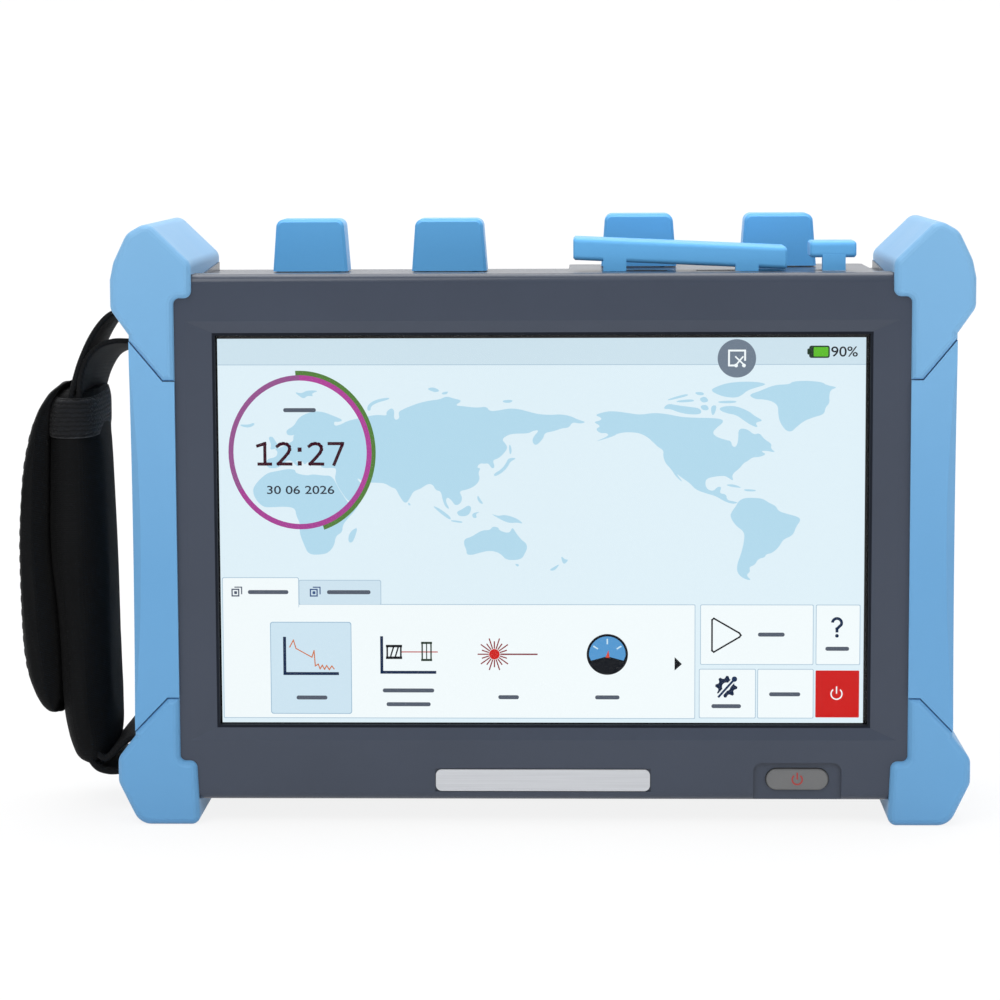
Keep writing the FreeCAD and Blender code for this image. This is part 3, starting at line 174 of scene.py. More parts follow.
def sweep_floor():
    """A floor that curves up into a wall behind the instrument."""
    front, depth, rise, bend, half = -2.5, 1.0, 1.6, 0.5, 2.5
    glow_share = 0.86  # how much of the paper looks lit by itself, so that it stays even
    steps = 12
    profile = [(front, 0.0), (depth - bend, 0.0)]
    for step in range(1, steps + 1):
        turn = math.pi / 2 * step / steps
        profile.append((depth - bend + bend * math.sin(turn), bend - bend * math.cos(turn)))
    profile.append((depth, rise))
    vertices = [(x, y, z) for y, z in profile for x in (-half, half)]
    faces = [(2 * i, 2 * i + 1, 2 * i + 3, 2 * i + 2) for i in range(len(profile) - 1)]
    floor = mesh_object("studio_floor", vertices, faces, smooth=True)
    paper = Finish("pale_paper", Base_Color=linear(246, 246, 246), Roughness=0.9)
    paper.set(Base_Color=paper.mix(paper.noise(3.0) * 0.5, linear(247, 247, 247), linear(242, 242, 243)))
    glow = paper.tree.nodes.new("ShaderNodeEmission")
    glow.inputs["Color"].default_value = (1, 1, 1, 1)
    glow.inputs["Strength"].default_value = 1.0
    rays = paper.node("LightPath", result="Is Camera Ray")
    glossy = paper.node("LightPath", result="Is Glossy Ray")
    passing = paper.node("LightPath", result="Is Transmission Ray")
    seen = (rays + glossy + passing).clamped()
    blend = paper.node("MixShader", None, {0: seen * glow_share})
    mixer = blend.socket.node
    paper.tree.links.new(paper.shader.outputs[0], mixer.inputs[1])
    paper.tree.links.new(glow.outputs[0], mixer.inputs[2])
    paper.tree.links.new(mixer.outputs[0], paper.output.inputs["Surface"])
    paper.paint(floor)


def soft_lamp(name, place, aim, width, height, power):
    """A rectangular area lamp, turned towards its aim."""
    lamp = bpy.data.lights.new(name, "AREA")
    lamp.shape = "RECTANGLE"
    lamp.size = width
    lamp.size_y = height
    lamp.energy = power
    item = bpy.data.objects.new(name, lamp)
    scene.collection.objects.link(item)
    item.location = place
    item.rotation_euler = (Vector(aim) - Vector(place)).to_track_quat("-Z", "Y").to_euler()


sweep_floor()
soft_lamp("key_lamp", (-0.5, -0.9, 1.1), aim=(0, 0, 0.08), width=0.9, height=0.9, power=9)
soft_lamp("fill_lamp", (0.9, -0.9, 0.6), aim=(0, 0, 0.08), width=0.9, height=0.9, power=4)
soft_lamp("top_lamp", (0.0, 0.3, 1.1), aim=(0, 0, 0.1), width=1.3, height=0.8, power=11)

world = bpy.data.worlds.new("studio_light")
scene.world = world
world.use_nodes = True
background = world.node_tree.nodes["Background"]
background.inputs["Color"].default_value = (0.95, 0.97, 1.0, 1)
background.inputs["Strength"].default_value = 0.42

VIEW_SIDE, VIEW_BACK, VIEW_HEIGHT = 14.1, -888, 188.9  # from the bezel's middle and the table
VIEW_DOWN, VIEW_ROLL, VIEW_TURN = 6.68, 0.25, 1.67  # degrees
LENS = 115.6

camera = bpy.data.objects.new("camera", bpy.data.cameras.new("camera"))
scene.collection.objects.link(camera)
camera.data.lens = LENS
camera.location = (middle_x + VIEW_SIDE * MM, VIEW_BACK * MM, VIEW_HEIGHT * MM)
view_turns = (math.radians(90 - VIEW_DOWN), math.radians(VIEW_ROLL), math.radians(VIEW_TURN))
camera.rotation_euler = Euler(view_turns, "XYZ")
scene.camera = camera

# ---------------------------------------------------------------- housing
# Two mouldings of dark slate-blue ABS, screwed together from behind: a shallow bezel
# and a deep back shell, with the battery door, port plate and stand in the same plastic.
# The tool was lightly spark-eroded, so the skin has a fine, even grain.

slate = Finish("slate_plastic", Roughness=0.48, Specular_IOR_Level=0.35, Coat_Weight=0.45,
               Coat_Roughness=0.14)
slate_mottle = slate.noise(28.0, 4.0)
slate.set(
    Base_Color=slate.mix(slate_mottle, linear(44, 53, 69), linear(52, 61, 78)),
    Roughness=0.42 + 0.14 * slate.noise(60.0, 2.0),
    Normal=slate.bump(slate.noise(2600.0, 2.0), 0.00004, 0.55),
)
slate.paint(*[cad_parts[name] for name in (
    "front_housing", "rear_housing", "battery_cover", "port_plate", "kickstand",
)])

# ---------------------------------------------------------------- corner bumpers and side rails
# Sky-blue soft rubber moulded over a stiff core: four chunky corner guards and the grip
# strips between them. The surface is satin, and its colour is painted paler towards the top as painted light
# from above.


def rubber(name, deep, pale, painted_top_light=0.0):
    """Satin rubber; painted light from above makes it paler from 70 mm above the table up to 170 mm."""
    soft = Finish(name, Sheen_Weight=0.1, Sheen_Roughness=0.5, Specular_IOR_Level=0.4)
    height = soft.node("SeparateXYZ", None, {0: soft.place()}, result=2)
    # Painted light: the colour runs paler with height, standing for light falling from above.
    cloud_and_top_light = (soft.noise(14.0, 3.0) * (1 - painted_top_light) + (height * 10.0 - 0.7).clamped() * painted_top_light).clamped()
    soft.set(
        Base_Color=soft.mix(cloud_and_top_light, deep, pale),
        Roughness=0.42 + 0.16 * soft.noise(45.0, 3.0),
        Normal=soft.bump(soft.noise(900.0, 3.0), 0.00006, 0.35),
    )
    return soft


# The guards take 0.75 of painted top light, so their colour is painted paler higher up.
guard_rubber = rubber("sky_rubber", linear(93, 153, 200), linear(123, 175, 214), 0.75)
guard_rubber.paint(*[node for name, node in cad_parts.items()
                     if name.startswith(("bumper_", "rail_"))])

# ---------------------------------------------------------------- dust caps and port flaps
# The same kind of rubber in a stronger blue: four hollow caps that snap over the optical
# ports, and two flaps on tethers over the data and charging sockets.

cover_rubber = rubber("cap_rubber", linear(94, 173, 230), linear(103, 183, 240))
cover_rubber.paint(*[node for name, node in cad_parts.items()
                     if name.startswith("dust_cap") or name in ("long_flap", "small_flap", "flap_roots")])

# ---------------------------------------------------------------- metal fittings
# Nickel-plated optical adapters under the caps, stamped socket shells under the flaps, and
# plain steel pins, bars and screws. The optical block is cast and the spacers are turned brass.


def metal(name, colour, roughness, pieces):
    plain = Finish(name, Metallic=1.0, Base_Color=colour)
    plain.set(Roughness=roughness + 0.12 * plain.noise(90.0))
    plain.paint(*[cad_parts[piece] for piece in pieces])


metal("nickel", linear(205, 203, 196), 0.18,
      [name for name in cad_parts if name.startswith("optical_adapter")])
metal("plain_steel", linear(176, 178, 182), 0.28,
      ("case_screws", "cover_screws", "cap_pins", "stand_pins", "strap_bar_top",
       "strap_bar_bottom", "usb_socket", "lan_socket"))
metal("module_casting", linear(160, 163, 168), 0.45, ("otdr_module",))
metal("turned_brass", linear(196, 164, 92), 0.3, ("board_spacers",))

# ---------------------------------------------------------------- inner parts
# What the closed housing holds: circuit board, battery, speaker, switch and display unit.
# Of all this only the foam gasket shows, as a dark line round the screen.

mask = Finish("solder_mask", Specular_IOR_Level=0.5, Coat_Weight=0.3)
mask.set(Base_Color=mask.mix(mask.noise(40.0), linear(18, 84, 50), linear(26, 104, 62)),
         Roughness=0.3 + 0.15 * mask.noise(50.0))
mask.paint(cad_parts["main_board"])

black = Finish("black_plastic", Specular_IOR_Level=0.4)
black.set(Base_Color=black.mix(black.noise(30.0), linear(24, 25, 28), linear(32, 33, 36)),
          Roughness=0.5 + 0.15 * black.noise(60.0))
black.paint(*[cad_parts[name] for name in ("battery_pack", "speaker", "power_switch",
                                                "charging_socket", "lcd_panel")])

foam = Finish("dark_gasket", Specular_IOR_Level=0.2)
foam.set(Base_Color=foam.mix(foam.noise(60.0), linear(18, 22, 31), linear(25, 30, 40)),
         Roughness=0.8 + 0.12 * foam.noise(90.0))
foam.paint(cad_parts["screen_gasket"])

# ---------------------------------------------------------------- touch glass
# A clear hard-coated sheet with a black printed border, bonded over the display. The
# picture lies against its back, so only a thin sheet stands in front of the layers.

PICTURE_WIDE, PICTURE_TALL = 174.0, 104.6
PICTURE_LEFT, PICTURE_DROP = 0.3, 0.45  # how far it sits off the glass's middle
BEVEL = 0.08

glass_low, glass_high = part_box("touch_panel")
picture_width, picture_height = PICTURE_WIDE * MM, PICTURE_TALL * MM
picture_x = (glass_low.x + glass_high.x) / 2 - PICTURE_LEFT * MM
picture_z = (glass_low.z + glass_high.z) / 2 - PICTURE_DROP * MM
glass_y = glass_low.y
sheet_back = glass_y + 0.25 * MM
border_front, border_back = glass_y + 1.1 * MM, glass_high.y - 0.05 * MM


def slab(name, left, right, low, high, near_y, far_y):
    """A thin upright plate with a hair of bevel round its face."""
    shape = bmesh.new()
    bmesh.ops.create_cube(shape, size=1)
    scale = Matrix.Diagonal((right - left, far_y - near_y, high - low, 1))
    centre = Matrix.Translation(((left + right) / 2, (near_y + far_y) / 2, (low + high) / 2))
    bmesh.ops.transform(shape, matrix=centre @ scale, verts=shape.verts)
    bmesh.ops.bevel(shape, geom=shape.edges[:], offset=BEVEL * MM, segments=2, affect="EDGES")
    return built_object(name, shape)


clear = Finish("clear_glass", Base_Color=linear(24, 27, 30), IOR=1.45, Alpha=0.06,
               Specular_IOR_Level=0.5)
clear.set(Roughness=0.05 + 0.04 * clear.noise(12.0, 4.0))
glass = slab("touch_sheet", glass_low.x, glass_high.x, glass_low.z, glass_high.z,
             glass_y, sheet_back)
clear.paint(glass)
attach(glass, "case")
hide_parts("touch_panel")

ink = Finish("border_ink", Specular_IOR_Level=0.5)
ink.set(Base_Color=ink.mix(ink.noise(20.0), linear(7, 8, 11), linear(12, 13, 17)),
        Roughness=0.22 + 0.1 * ink.noise(40.0))
border = slab("screen_border", glass_low.x, glass_high.x, glass_low.z, glass_high.z,
              border_front, border_back)
ink.paint(border)
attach(border, "case")

# ---------------------------------------------------------------- lit picture
# The display shows a start screen: a pale map, a round clock, a row of function tiles and
# a block of buttons. Each shape is a thin lit layer behind the glass, and words are grey bars.

PICTURE_BACK = glass_y + 1.0 * MM
LAYER = 0.03 * MM
BACKLIGHT = 1.14
DIMMEST = 0.955
RAISE, LEAN = 0.42, 0.22  # how far the picture's left side is raised, and how much less its right
lit_finishes = {}


def lit(colour):
    """A display colour, a little uneven as a backlight is."""
    if colour not in lit_finishes:
        glow = Finish("lit_%d_%d_%d" % colour, Base_Color=(0.01, 0.01, 0.01, 1), Roughness=0.6,
                      Specular_IOR_Level=0.05, Emission_Strength=BACKLIGHT)
        full = linear(*colour)
        dimmer = tuple(c * DIMMEST for c in full[:3]) + (1.0,)
        glow.set(Emission_Color=glow.mix(glow.noise(9.0, 1.0), dimmer, full))
        lit_finishes[colour] = glow
    return lit_finishes[colour]


def spot(across, down, layer):
    """A place on the picture, in millimetres from its top left corner.

    The display sits a hair out of square behind its window, so the left side is raised.
    """
    if layer > 1:
        down = down - RAISE + LEAN * across / PICTURE_WIDE
    return (
        picture_x - picture_width / 2 + across * MM,
        PICTURE_BACK - layer * LAYER,
        picture_z + picture_height / 2 - down * MM,
    )


def on_display(made, colour):
    """Light a piece and fix it to the case, as part of the display."""
    lit(colour).paint(made)
    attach(made, "case")


def shape(name, colour, layer, *outlines):
    """Flat lit shapes, each outline a closed run of places."""
    build = bmesh.new()
    for outline in outlines:
        twice_area = sum(x1 * y2 - x2 * y1 for (x1, y1), (x2, y2)
                         in zip(outline, outline[1:] + outline[:1]))
        turned = [Vector(corner) for corner in (outline if twice_area > 0 else outline[::-1])]
        whole = [list(range(len(turned)))]
        filled = delaunay_2d_cdt(turned, [], whole, 1, 1e-5)  # 1: only what lies inside the outline
        corners = [build.verts.new(spot(across, down, layer)) for across, down in filled[0]]
        for triangle in filled[2]:
            build.faces.new([corners[index] for index in triangle])
    bmesh.ops.recalc_face_normals(build, faces=build.faces[:])
    on_display(built_object(name, build), colour)


def tile(left, top, width, height, corner=0.6):
    """Outline of a box with rounded corners."""
    points = []
    for centre_x, centre_y, start in (
        (left + width - corner, top + corner, -90), (left + width - corner, top + height - corner, 0),
        (left + corner, top + height - corner, 90), (left + corner, top + corner, 180),
    ):
        for step in range(5):
            points.append(polar((centre_x, centre_y), corner, math.radians(start + 22.5 * step)))
    return points


def at(centre, *points):
    """Places given from a centre."""
    return [(centre[0] + across, centre[1] + down) for across, down in points]


def polar(centre, radius, turn):
    """A place at a radius from a centre, turned clockwise from the right."""
    return centre[0] + radius * math.cos(turn), centre[1] + radius * math.sin(turn)


def disc(across, down, radius, steps=48):
    return [polar((across, down), radius, 2 * math.pi * i / steps) for i in range(steps)]


def arc_band(across, down, inner, outer, start, end, steps=48):
    """Outlines of a ring's stretch, from one clock angle to another in degrees."""
    bands = []
    for i in range(steps):
        turns = [math.radians(start + (end - start) * (i + k) / steps) for k in (0, 1)]
        a, b = [(math.sin(t), -math.cos(t)) for t in turns]
        bands.append([(across + r * p[0], down + r * p[1]) for r, p in
                      ((inner, a), (outer, a), (outer, b), (inner, b))])
    return bands


def stroke(points, width):
    """Outlines of a drawn line, one box for each stretch."""
    boxes = []
    for (x1, y1), (x2, y2) in zip(points, points[1:]):
        length = math.hypot(x2 - x1, y2 - y1)
        side_x, side_y = -(y2 - y1) / length * width / 2, (x2 - x1) / length * width / 2
        grow_x, grow_y = (x2 - x1) / length * width / 2, (y2 - y1) / length * width / 2
        boxes.append([
            (x1 - grow_x + side_x, y1 - grow_y + side_y), (x2 + grow_x + side_x, y2 + grow_y + side_y),
            (x2 + grow_x - side_x, y2 + grow_y - side_y), (x1 - grow_x - side_x, y1 - grow_y - side_y),
        ])
    return boxes


def strokes(width, *lines):
    """Outlines of several lines of one width."""
    return [box for line in lines for box in stroke(line, width)]


def word_bar(name, left, top, width, layer=8):
    """The bare grey bar that stands for a word."""
    shape(name, LABEL, layer, tile(left, top, width, 1.1, 0.5))


def figures(name, text, colour, layer, across, down, height, weight, widen):
    """Numbers on the display, in a plain face made bolder and wider, centred on a place."""
    face_share = 1.36  # the face's size over the height of its figures
    curve = bpy.data.curves.new(name, "FONT")
    curve.body = text
    curve.offset = weight * MM
    curve.align_x = "CENTER"
    curve.align_y = "CENTER"
    curve.size = height * face_share * MM
    loose = bpy.data.objects.new(name + "_curve", curve)
    scene.collection.objects.link(loose)
    bpy.context.view_layer.update()
    mesh = bpy.data.meshes.new_from_object(loose.evaluated_get(bpy.context.evaluated_depsgraph_get()))
    bpy.data.objects.remove(loose)
    upright = Matrix.Translation(spot(across, down, layer)) @ Matrix.Rotation(math.pi / 2, 4, "X")
    mesh.transform(upright @ Matrix.Diagonal((widen, 1, 1, 1)))
    made = bpy.data.objects.new(name, mesh)
    scene.collection.objects.link(made)
    on_display(made, colour)


WHITE = (243, 251, 253)
PALE = (224, 241, 249)
LINE = (172, 198, 216)
NAVY = (22, 42, 74)
BLACK = (16, 18, 24)
LAND = (179, 218, 237)
LABEL = (84, 92, 106)
HEADER_FOOT, HEADER_LINE = 7.35, 7.55

shape("picture_ground", PALE, 1, tile(0, 0, PICTURE_WIDE, PICTURE_TALL, 0.05))
shape("picture_header", (206, 227, 238), 2,
      [(0, RAISE), (PICTURE_WIDE, RAISE - LEAN), (PICTURE_WIDE, HEADER_FOOT), (0, HEADER_FOOT)])
shape("picture_header_line", LINE, 3,
      [(0, HEADER_FOOT), (PICTURE_WIDE, HEADER_FOOT), (PICTURE_WIDE, HEADER_LINE), (0, HEADER_LINE)])

# Land, as drawn: each row of places is a closed coast, in millimetres across and down.
land = {
    "eurasia": [
        (12.9, 35.2), (12.8, 32.9), (15.6, 32.4), (16, 30.8), (15, 30.1), (17.2, 29.7), (18.8, 28.6),
        (20.3, 28), (20.2, 26.6), (20.9, 26.2), (21.2, 28.2), (23.6, 28.2), (25, 27.2), (25.4, 26.1),
        (28, 25.9), (25.5, 25.4), (25.2, 24.4), (26.4, 23.2), (24.6, 24.2), (23.6, 25.4), (23.6, 26.6),
        (22.6, 27.8), (21.6, 27.6), (21, 26.2), (19.6, 26.6), (18.4, 26.2), (18.4, 25), (20.4, 24),
        (21.6, 21.9), (23.2, 20.8), (26, 19.9), (28.6, 20.2), (30.6, 21), (33.8, 22.3), (32.6, 22.9),
        (31.2, 22.7), (31.4, 24), (33, 23.6), (34.8, 22.6), (38.2, 21.8), (40, 21.4), (42.9, 20.9),
        (45.6, 21.2), (45.3, 20.2), (46.8, 19), (47.6, 19.8), (47.4, 21.9), (48.2, 22.4), (49, 21.6),
        (48.6, 20.2), (50, 19.4), (51.4, 18.8), (54, 17.8), (57, 17.1), (59.8, 16.8), (61.6, 15.9),
        (63.4, 16.5), (66, 17.1), (63.8, 18.4), (66, 18.6), (68.2, 18.9), (70.2, 19), (72.4, 18.7),
        (73.2, 20), (75.6, 19.8), (78.4, 19.2), (81.2, 19.4), (84, 20.2), (86.4, 20.8), (89.6, 21),
        (92, 20.8), (94.8, 21.2), (96.8, 22.2), (99.2, 22.9), (97.6, 23.4), (95.4, 22.9), (94.6, 24.4),
        (92.6, 24.6), (90.4, 25.4), (88, 25.8), (87.6, 27.4), (85.6, 29.4), (84.6, 28.2), (85, 26.8),
        (86.6, 25.1), (85, 25.2), (83.6, 26), (80, 26), (78, 26.4), (76.4, 27.6), (77.6, 28.9), (78, 30),
        (76.8, 31.6), (75.4, 32.8), (73.9, 33.2), (74.6, 35), (73.8, 35.6), (72.8, 34), (71.8, 34.2),
        (70.6, 34), (69.6, 35.2), (70.8, 35.4), (70, 36.6), (70.6, 38.4), (69.2, 40.2), (67, 41.2),
        (64.8, 41.6), (65.8, 43.4), (65.2, 45), (63.8, 45.6), (62.8, 44), (61.6, 43.2), (61.2, 44.4),
        (62.4, 46.6), (61.2, 46), (60.4, 44), (60, 41.6), (58.6, 41.4), (57.8, 39.8), (56.4, 39.6),
        (54.4, 41), (52.6, 41.6), (51.8, 43), (50.8, 44.8), (49.8, 44.6), (48.6, 42.6), (47.8, 40.9),
        (46.6, 40.6), (44.8, 39.4), (41.8, 39.3), (39.4, 39.2), (37, 37.8), (38.6, 39.8), (40.4, 40.6),
        (39.4, 42.4), (36.2, 44.2), (34.9, 44.4), (33, 41.8), (31.2, 38.5), (31.8, 36), (31.4, 35.2),
        (28, 35.4), (27.4, 34.4), (25, 34.6), (24.2, 33.4), (23.2, 34.6), (22.6, 33.4), (20.6, 33.2),
        (21.8, 34.5), (21.2, 35), (19.6, 33.2), (18.2, 33.4), (17.2, 34.6), (15.2, 35.5),
    ],
    "africa": [
        (13.2, 36.6), (15.6, 36.2), (18.4, 35.6), (20.6, 35.7), (20.8, 36.8), (24, 37.4), (25.2, 37),
        (28.4, 37.4), (30.6, 37.4), (32.4, 41), (34.2, 43.8), (35, 44.9), (38, 44.6), (37, 46.6),
        (34.4, 49.4), (33.3, 51), (33.2, 52.8), (31.4, 53.8), (31, 56.4), (29.4, 58.4), (27.4, 58.9),
        (24, 58.9), (22.8, 56.2), (21.6, 53), (21.8, 50.4), (20.8, 48.4), (20.5, 46.2), (17.8, 45.8),
        (14.2, 46), (12, 46), (10.2, 44.4), (9.2, 42.4), (9.2, 40.6), (11, 38.4),
    ],
    "australia": [
        (66.2, 54.6), (68.2, 54), (70, 52.8), (71.4, 52.2), (73.2, 52.2), (73.8, 51.2), (75.4, 51.4),
        (75.6, 52.2), (77.4, 52.9), (78.6, 52.8), (79.2, 51.3), (80.2, 53), (81.6, 54.8), (83, 55.8),
        (83.2, 57.2), (82.6, 58.4), (81.8, 60), (79.6, 60.4), (77.4, 60.2), (76.2, 58.8), (74.6, 58),
        (72.6, 57.8), (70.2, 58.4), (68.2, 59), (66.8, 58.8), (66.8, 57.6), (66.1, 56.2),
    ],
    "greenland": [
        (142.6, 15.6), (145.6, 14.6), (149.6, 12.9), (153.6, 12.8), (154.4, 12), (158.4, 11.8),
        (162.4, 12.2), (163.4, 13), (166.6, 13.6), (164.6, 14.2), (164.2, 16), (164.4, 17.8), (163.2, 19),
        (163, 20.8), (160.2, 21.6), (157.6, 22.6), (155.6, 24.2), (154.2, 25.6), (152.6, 25.2),
        (151, 22.8), (150.6, 20.4), (150.6, 18.6), (149.2, 17.4), (146.8, 16.8), (144.4, 16.8),
    ],
    "north_america": [
        (101.4, 21), (103.6, 20.3), (106, 19.9), (110, 20.4), (113.6, 21), (117.4, 20.4), (121.2, 20.8),
        (124.8, 21.6), (129.4, 21.8), (132.6, 21.8), (135.6, 22.1), (136, 23), (134, 24.6), (133, 25.8),
        (134.2, 27), (136.8, 27.8), (138, 28), (138.4, 29.6), (139.5, 29.6), (140, 27.6), (140, 24.6),
        (142.4, 24.8), (144.2, 26.4), (145.6, 25.8), (147, 27.6), (149, 28.8), (148.6, 30), (150.2, 31.2),
        (147.2, 30.6), (146, 30.8), (147.6, 31.6), (145.6, 32.4), (143.8, 32.4), (142.6, 33.4),
        (141.4, 34), (140.4, 35.4), (138.2, 37.1), (138.8, 38.9), (137.4, 38), (136.4, 37.4),
        (133.8, 37.6), (131.4, 38.2), (131.1, 39.8), (131.8, 41.2), (133.4, 41.6), (134.4, 40.4),
        (135.6, 40.4), (134.9, 42.2), (136.8, 42.4), (137, 44), (138.6, 44.3), (140.2, 44.7),
        (138.6, 45.1), (136.4, 44.4), (134, 42.9), (131.4, 42.2), (128.6, 41.2), (127, 39.4),
        (124.6, 37.8), (123.2, 36.6), (125.4, 39.5), (123.2, 37.6), (122, 35.6), (120.4, 34), (119.8, 32),
        (120, 30.6), (118.4, 29.6), (117.2, 28.4), (115.4, 26.8), (113.2, 25.8), (110, 25.6), (107.6, 26),
        (106.4, 26.8), (101, 28.4), (105.4, 26.6), (104.6, 25.8), (103, 26), (101.6, 24.8), (103.2, 24),
        (101, 22.9), (103, 22.5), (103.4, 21.8),
    ],
    "baffin": [
        (134.8, 19.2), (136.4, 18.6), (139.4, 18.6), (142.8, 20), (144.2, 21.2), (146.8, 22.6),
        (144.4, 23), (145.4, 24.5), (143.4, 23.8), (141.6, 22.6), (139.4, 21), (137, 20.6), (135.2, 19.9),
    ],
    "ellesmere": [
        (132.4, 14.4), (134, 13.4), (137, 12.4), (141.4, 12), (145.8, 12.2), (147.6, 12.8), (144.8, 13.6),
        (142.4, 14.4), (141, 15.6), (139.4, 16.4), (136.6, 16.2), (134.6, 15.6),
    ],
    "victoria": [
        (119.7, 19.4), (121, 17.9), (123.6, 18.4), (126.6, 18.8), (129.8, 19.2), (130.2, 20.8),
        (126.8, 20.9), (123.6, 20.2), (121.8, 19.4),
    ],
    "banks": [(120.8, 16.9), (123.4, 16), (126.2, 15.3), (126.6, 15.8), (123.6, 16.6), (121.4, 17.1)],
    "melville": [(123, 17.2), (127.6, 16.7), (128.4, 17.4), (124, 17.7)],
    "bathurst": [(129.4, 16.6), (131, 15.9), (132.2, 17.3), (130.4, 17.8)],
    "axel": [(128.2, 14.8), (130.8, 14.9), (130.6, 15.8), (128.8, 15.6)],
    "devon": [(134.2, 17.3), (139.4, 17.1), (139.4, 17.8), (135, 17.9)],
    "somerset": [(129.6, 18.5), (131.6, 18.2), (132.2, 19.7), (130.4, 19.8)],
    "boothia": [(132.5, 18.6), (134.2, 18.3), (133.8, 20.4), (132.9, 21.4)],
    "south_america": [
        (140, 44.4), (141.6, 43.4), (144.4, 43.4), (146.6, 43.6), (148.4, 44.8), (150.2, 45.6),
        (150.8, 47), (153.4, 47.8), (156.4, 48.6), (156.8, 49.6), (155.6, 51.2), (154.8, 53.6),
        (152.2, 54.6), (151, 56.8), (149.2, 58.4), (147.5, 58.7), (147.4, 59.5), (145.4, 60),
        (144.6, 61.6), (143, 62.2), (143.4, 63.4), (142.2, 64.4), (143.8, 65.9), (141.6, 65.4),
        (139.8, 63.8), (139.8, 61.4), (140.8, 58.8), (141.6, 55.6), (141.8, 52.6), (139.4, 51),
        (137.8, 48.4), (138.4, 47), (139.6, 45.4),
    ],
    "cuba": [(136.6, 39.8), (138.8, 39.7), (141.2, 40.7), (139.4, 40.6), (137.6, 40.3)],
    "hispaniola": [(141.4, 41), (144.8, 41.2), (144.6, 41.7), (141.8, 41.6)],
    "madagascar": [(37.3, 51.4), (37, 53), (36, 55.6), (34.9, 55.6), (34.8, 54), (35.6, 52.4)],
    "britain": [(13.4, 27), (14.6, 26.7), (15.6, 28.4), (16.6, 29.6), (13.8, 30.6), (14.3, 29)],
    "iceland": [(5.6, 23.5), (8.2, 23.6), (9.6, 23), (9.9, 23.6), (8.4, 24.4), (6.6, 24.2)],
    "svalbard": [
        (20.6, 14.7), (22.6, 15.2), (24, 14.3), (27.4, 14.4), (25.2, 15.2), (25.8, 16), (24.2, 15.7),
        (23.2, 16.6), (22, 15.9),
    ],
    "novaya": [
        (40.2, 19.8), (40.4, 18.2), (42.6, 16.8), (46.2, 16.2), (46.2, 16.8), (43, 17.6), (41.2, 18.7),
        (41.2, 19.8),
    ],
    "severnaya": [(56.4, 13.9), (58, 13.4), (60, 14.4), (58.8, 14.9), (57.4, 14.5)],
    "bolshevik": [(60.2, 15), (62.2, 14.5), (61.7, 15.4), (60.6, 15.5)],
    "new_siberian": [(76.6, 17), (79.6, 16.9), (79, 17.7), (77, 17.7)],
    "sakhalin": [(78.6, 28.6), (79.2, 30.6), (78.7, 32), (78.3, 30)],
    "japan": [
        (78.2, 32.6), (80.6, 32.6), (78.7, 33.6), (78.1, 34.9), (76.8, 36.4), (74.6, 37.7), (74.1, 37),
        (76.4, 35.6), (77.6, 34),
    ],
    "ceylon": [(51.1, 44.5), (51.9, 45.4), (51.1, 45.5)],
    "philippines": [(69.9, 42.6), (70.7, 44), (71.5, 45.1), (70.4, 44.9), (69.7, 43.6)],
    "sumatra": [(57.6, 45.5), (59.4, 46.2), (62.4, 48.4), (62.7, 49.5), (61.2, 48.7), (59.2, 47.1)],
    "java": [(62.5, 49.4), (65.8, 49.8), (65.6, 50.3), (62.8, 49.9)],
    "borneo": [(64.1, 47.2), (65.6, 46.6), (67.4, 45.3), (68.3, 46.2), (67.4, 48.3), (64.8, 48.5)],
    "celebes": [(68.3, 47.6), (70.7, 47.1), (69.3, 47.8), (69.7, 48.9), (68.5, 48.9)],
    "new_guinea": [
        (73.4, 47.7), (75.4, 48.4), (77, 48), (79.4, 48.6), (81, 49.4), (82.2, 50.5), (80.4, 50.1),
        (78.6, 50.3), (76.8, 49.7), (75, 48.7),
    ],
    "tasmania": [(79.7, 61.3), (81.1, 61.5), (80.6, 62.3)],
    "north_island": [(92.3, 59.1), (93.4, 60.2), (94.4, 60.2), (93.3, 61.5), (92.6, 60.9)],
    "south_island": [(92.1, 61.3), (90.6, 63.3), (89, 63.1), (90.4, 62.2)],
}


def soften(coast):
    """Round a drawn coast by cutting each corner a quarter of the way along, twice."""
    for _ in range(2):
        rounded = []
        for (x1, y1), (x2, y2) in zip(coast, coast[1:] + coast[:1]):
            rounded.append((x1 * 0.75 + x2 * 0.25, y1 * 0.75 + y2 * 0.25))
            rounded.append((x1 * 0.25 + x2 * 0.75, y1 * 0.25 + y2 * 0.75))
        coast = rounded
    return coast


for place_name, coast in land.items():
    shape("land_" + place_name, LAND, 4, soften(coast))

# Round clock over the map: a purple ring, a green arc for the charge and plain figures.
clock = (22.0, 31.1)
TALL = 1.08  # the ring is drawn a little taller than wide
ring_shares = ((0, 24, (176, 66, 152)), (24, 48, (168, 66, 148)), (48, 72, (150, 84, 142)))
COLON_WEIGHT, DIGIT_WEIGHT = 1.1, 0.86


def tall(outlines):
    """Stretch outlines upright about the clock's middle."""
    return [[(across, clock[1] + (down - clock[1]) * TALL) for across, down in outline]
            for outline in outlines]


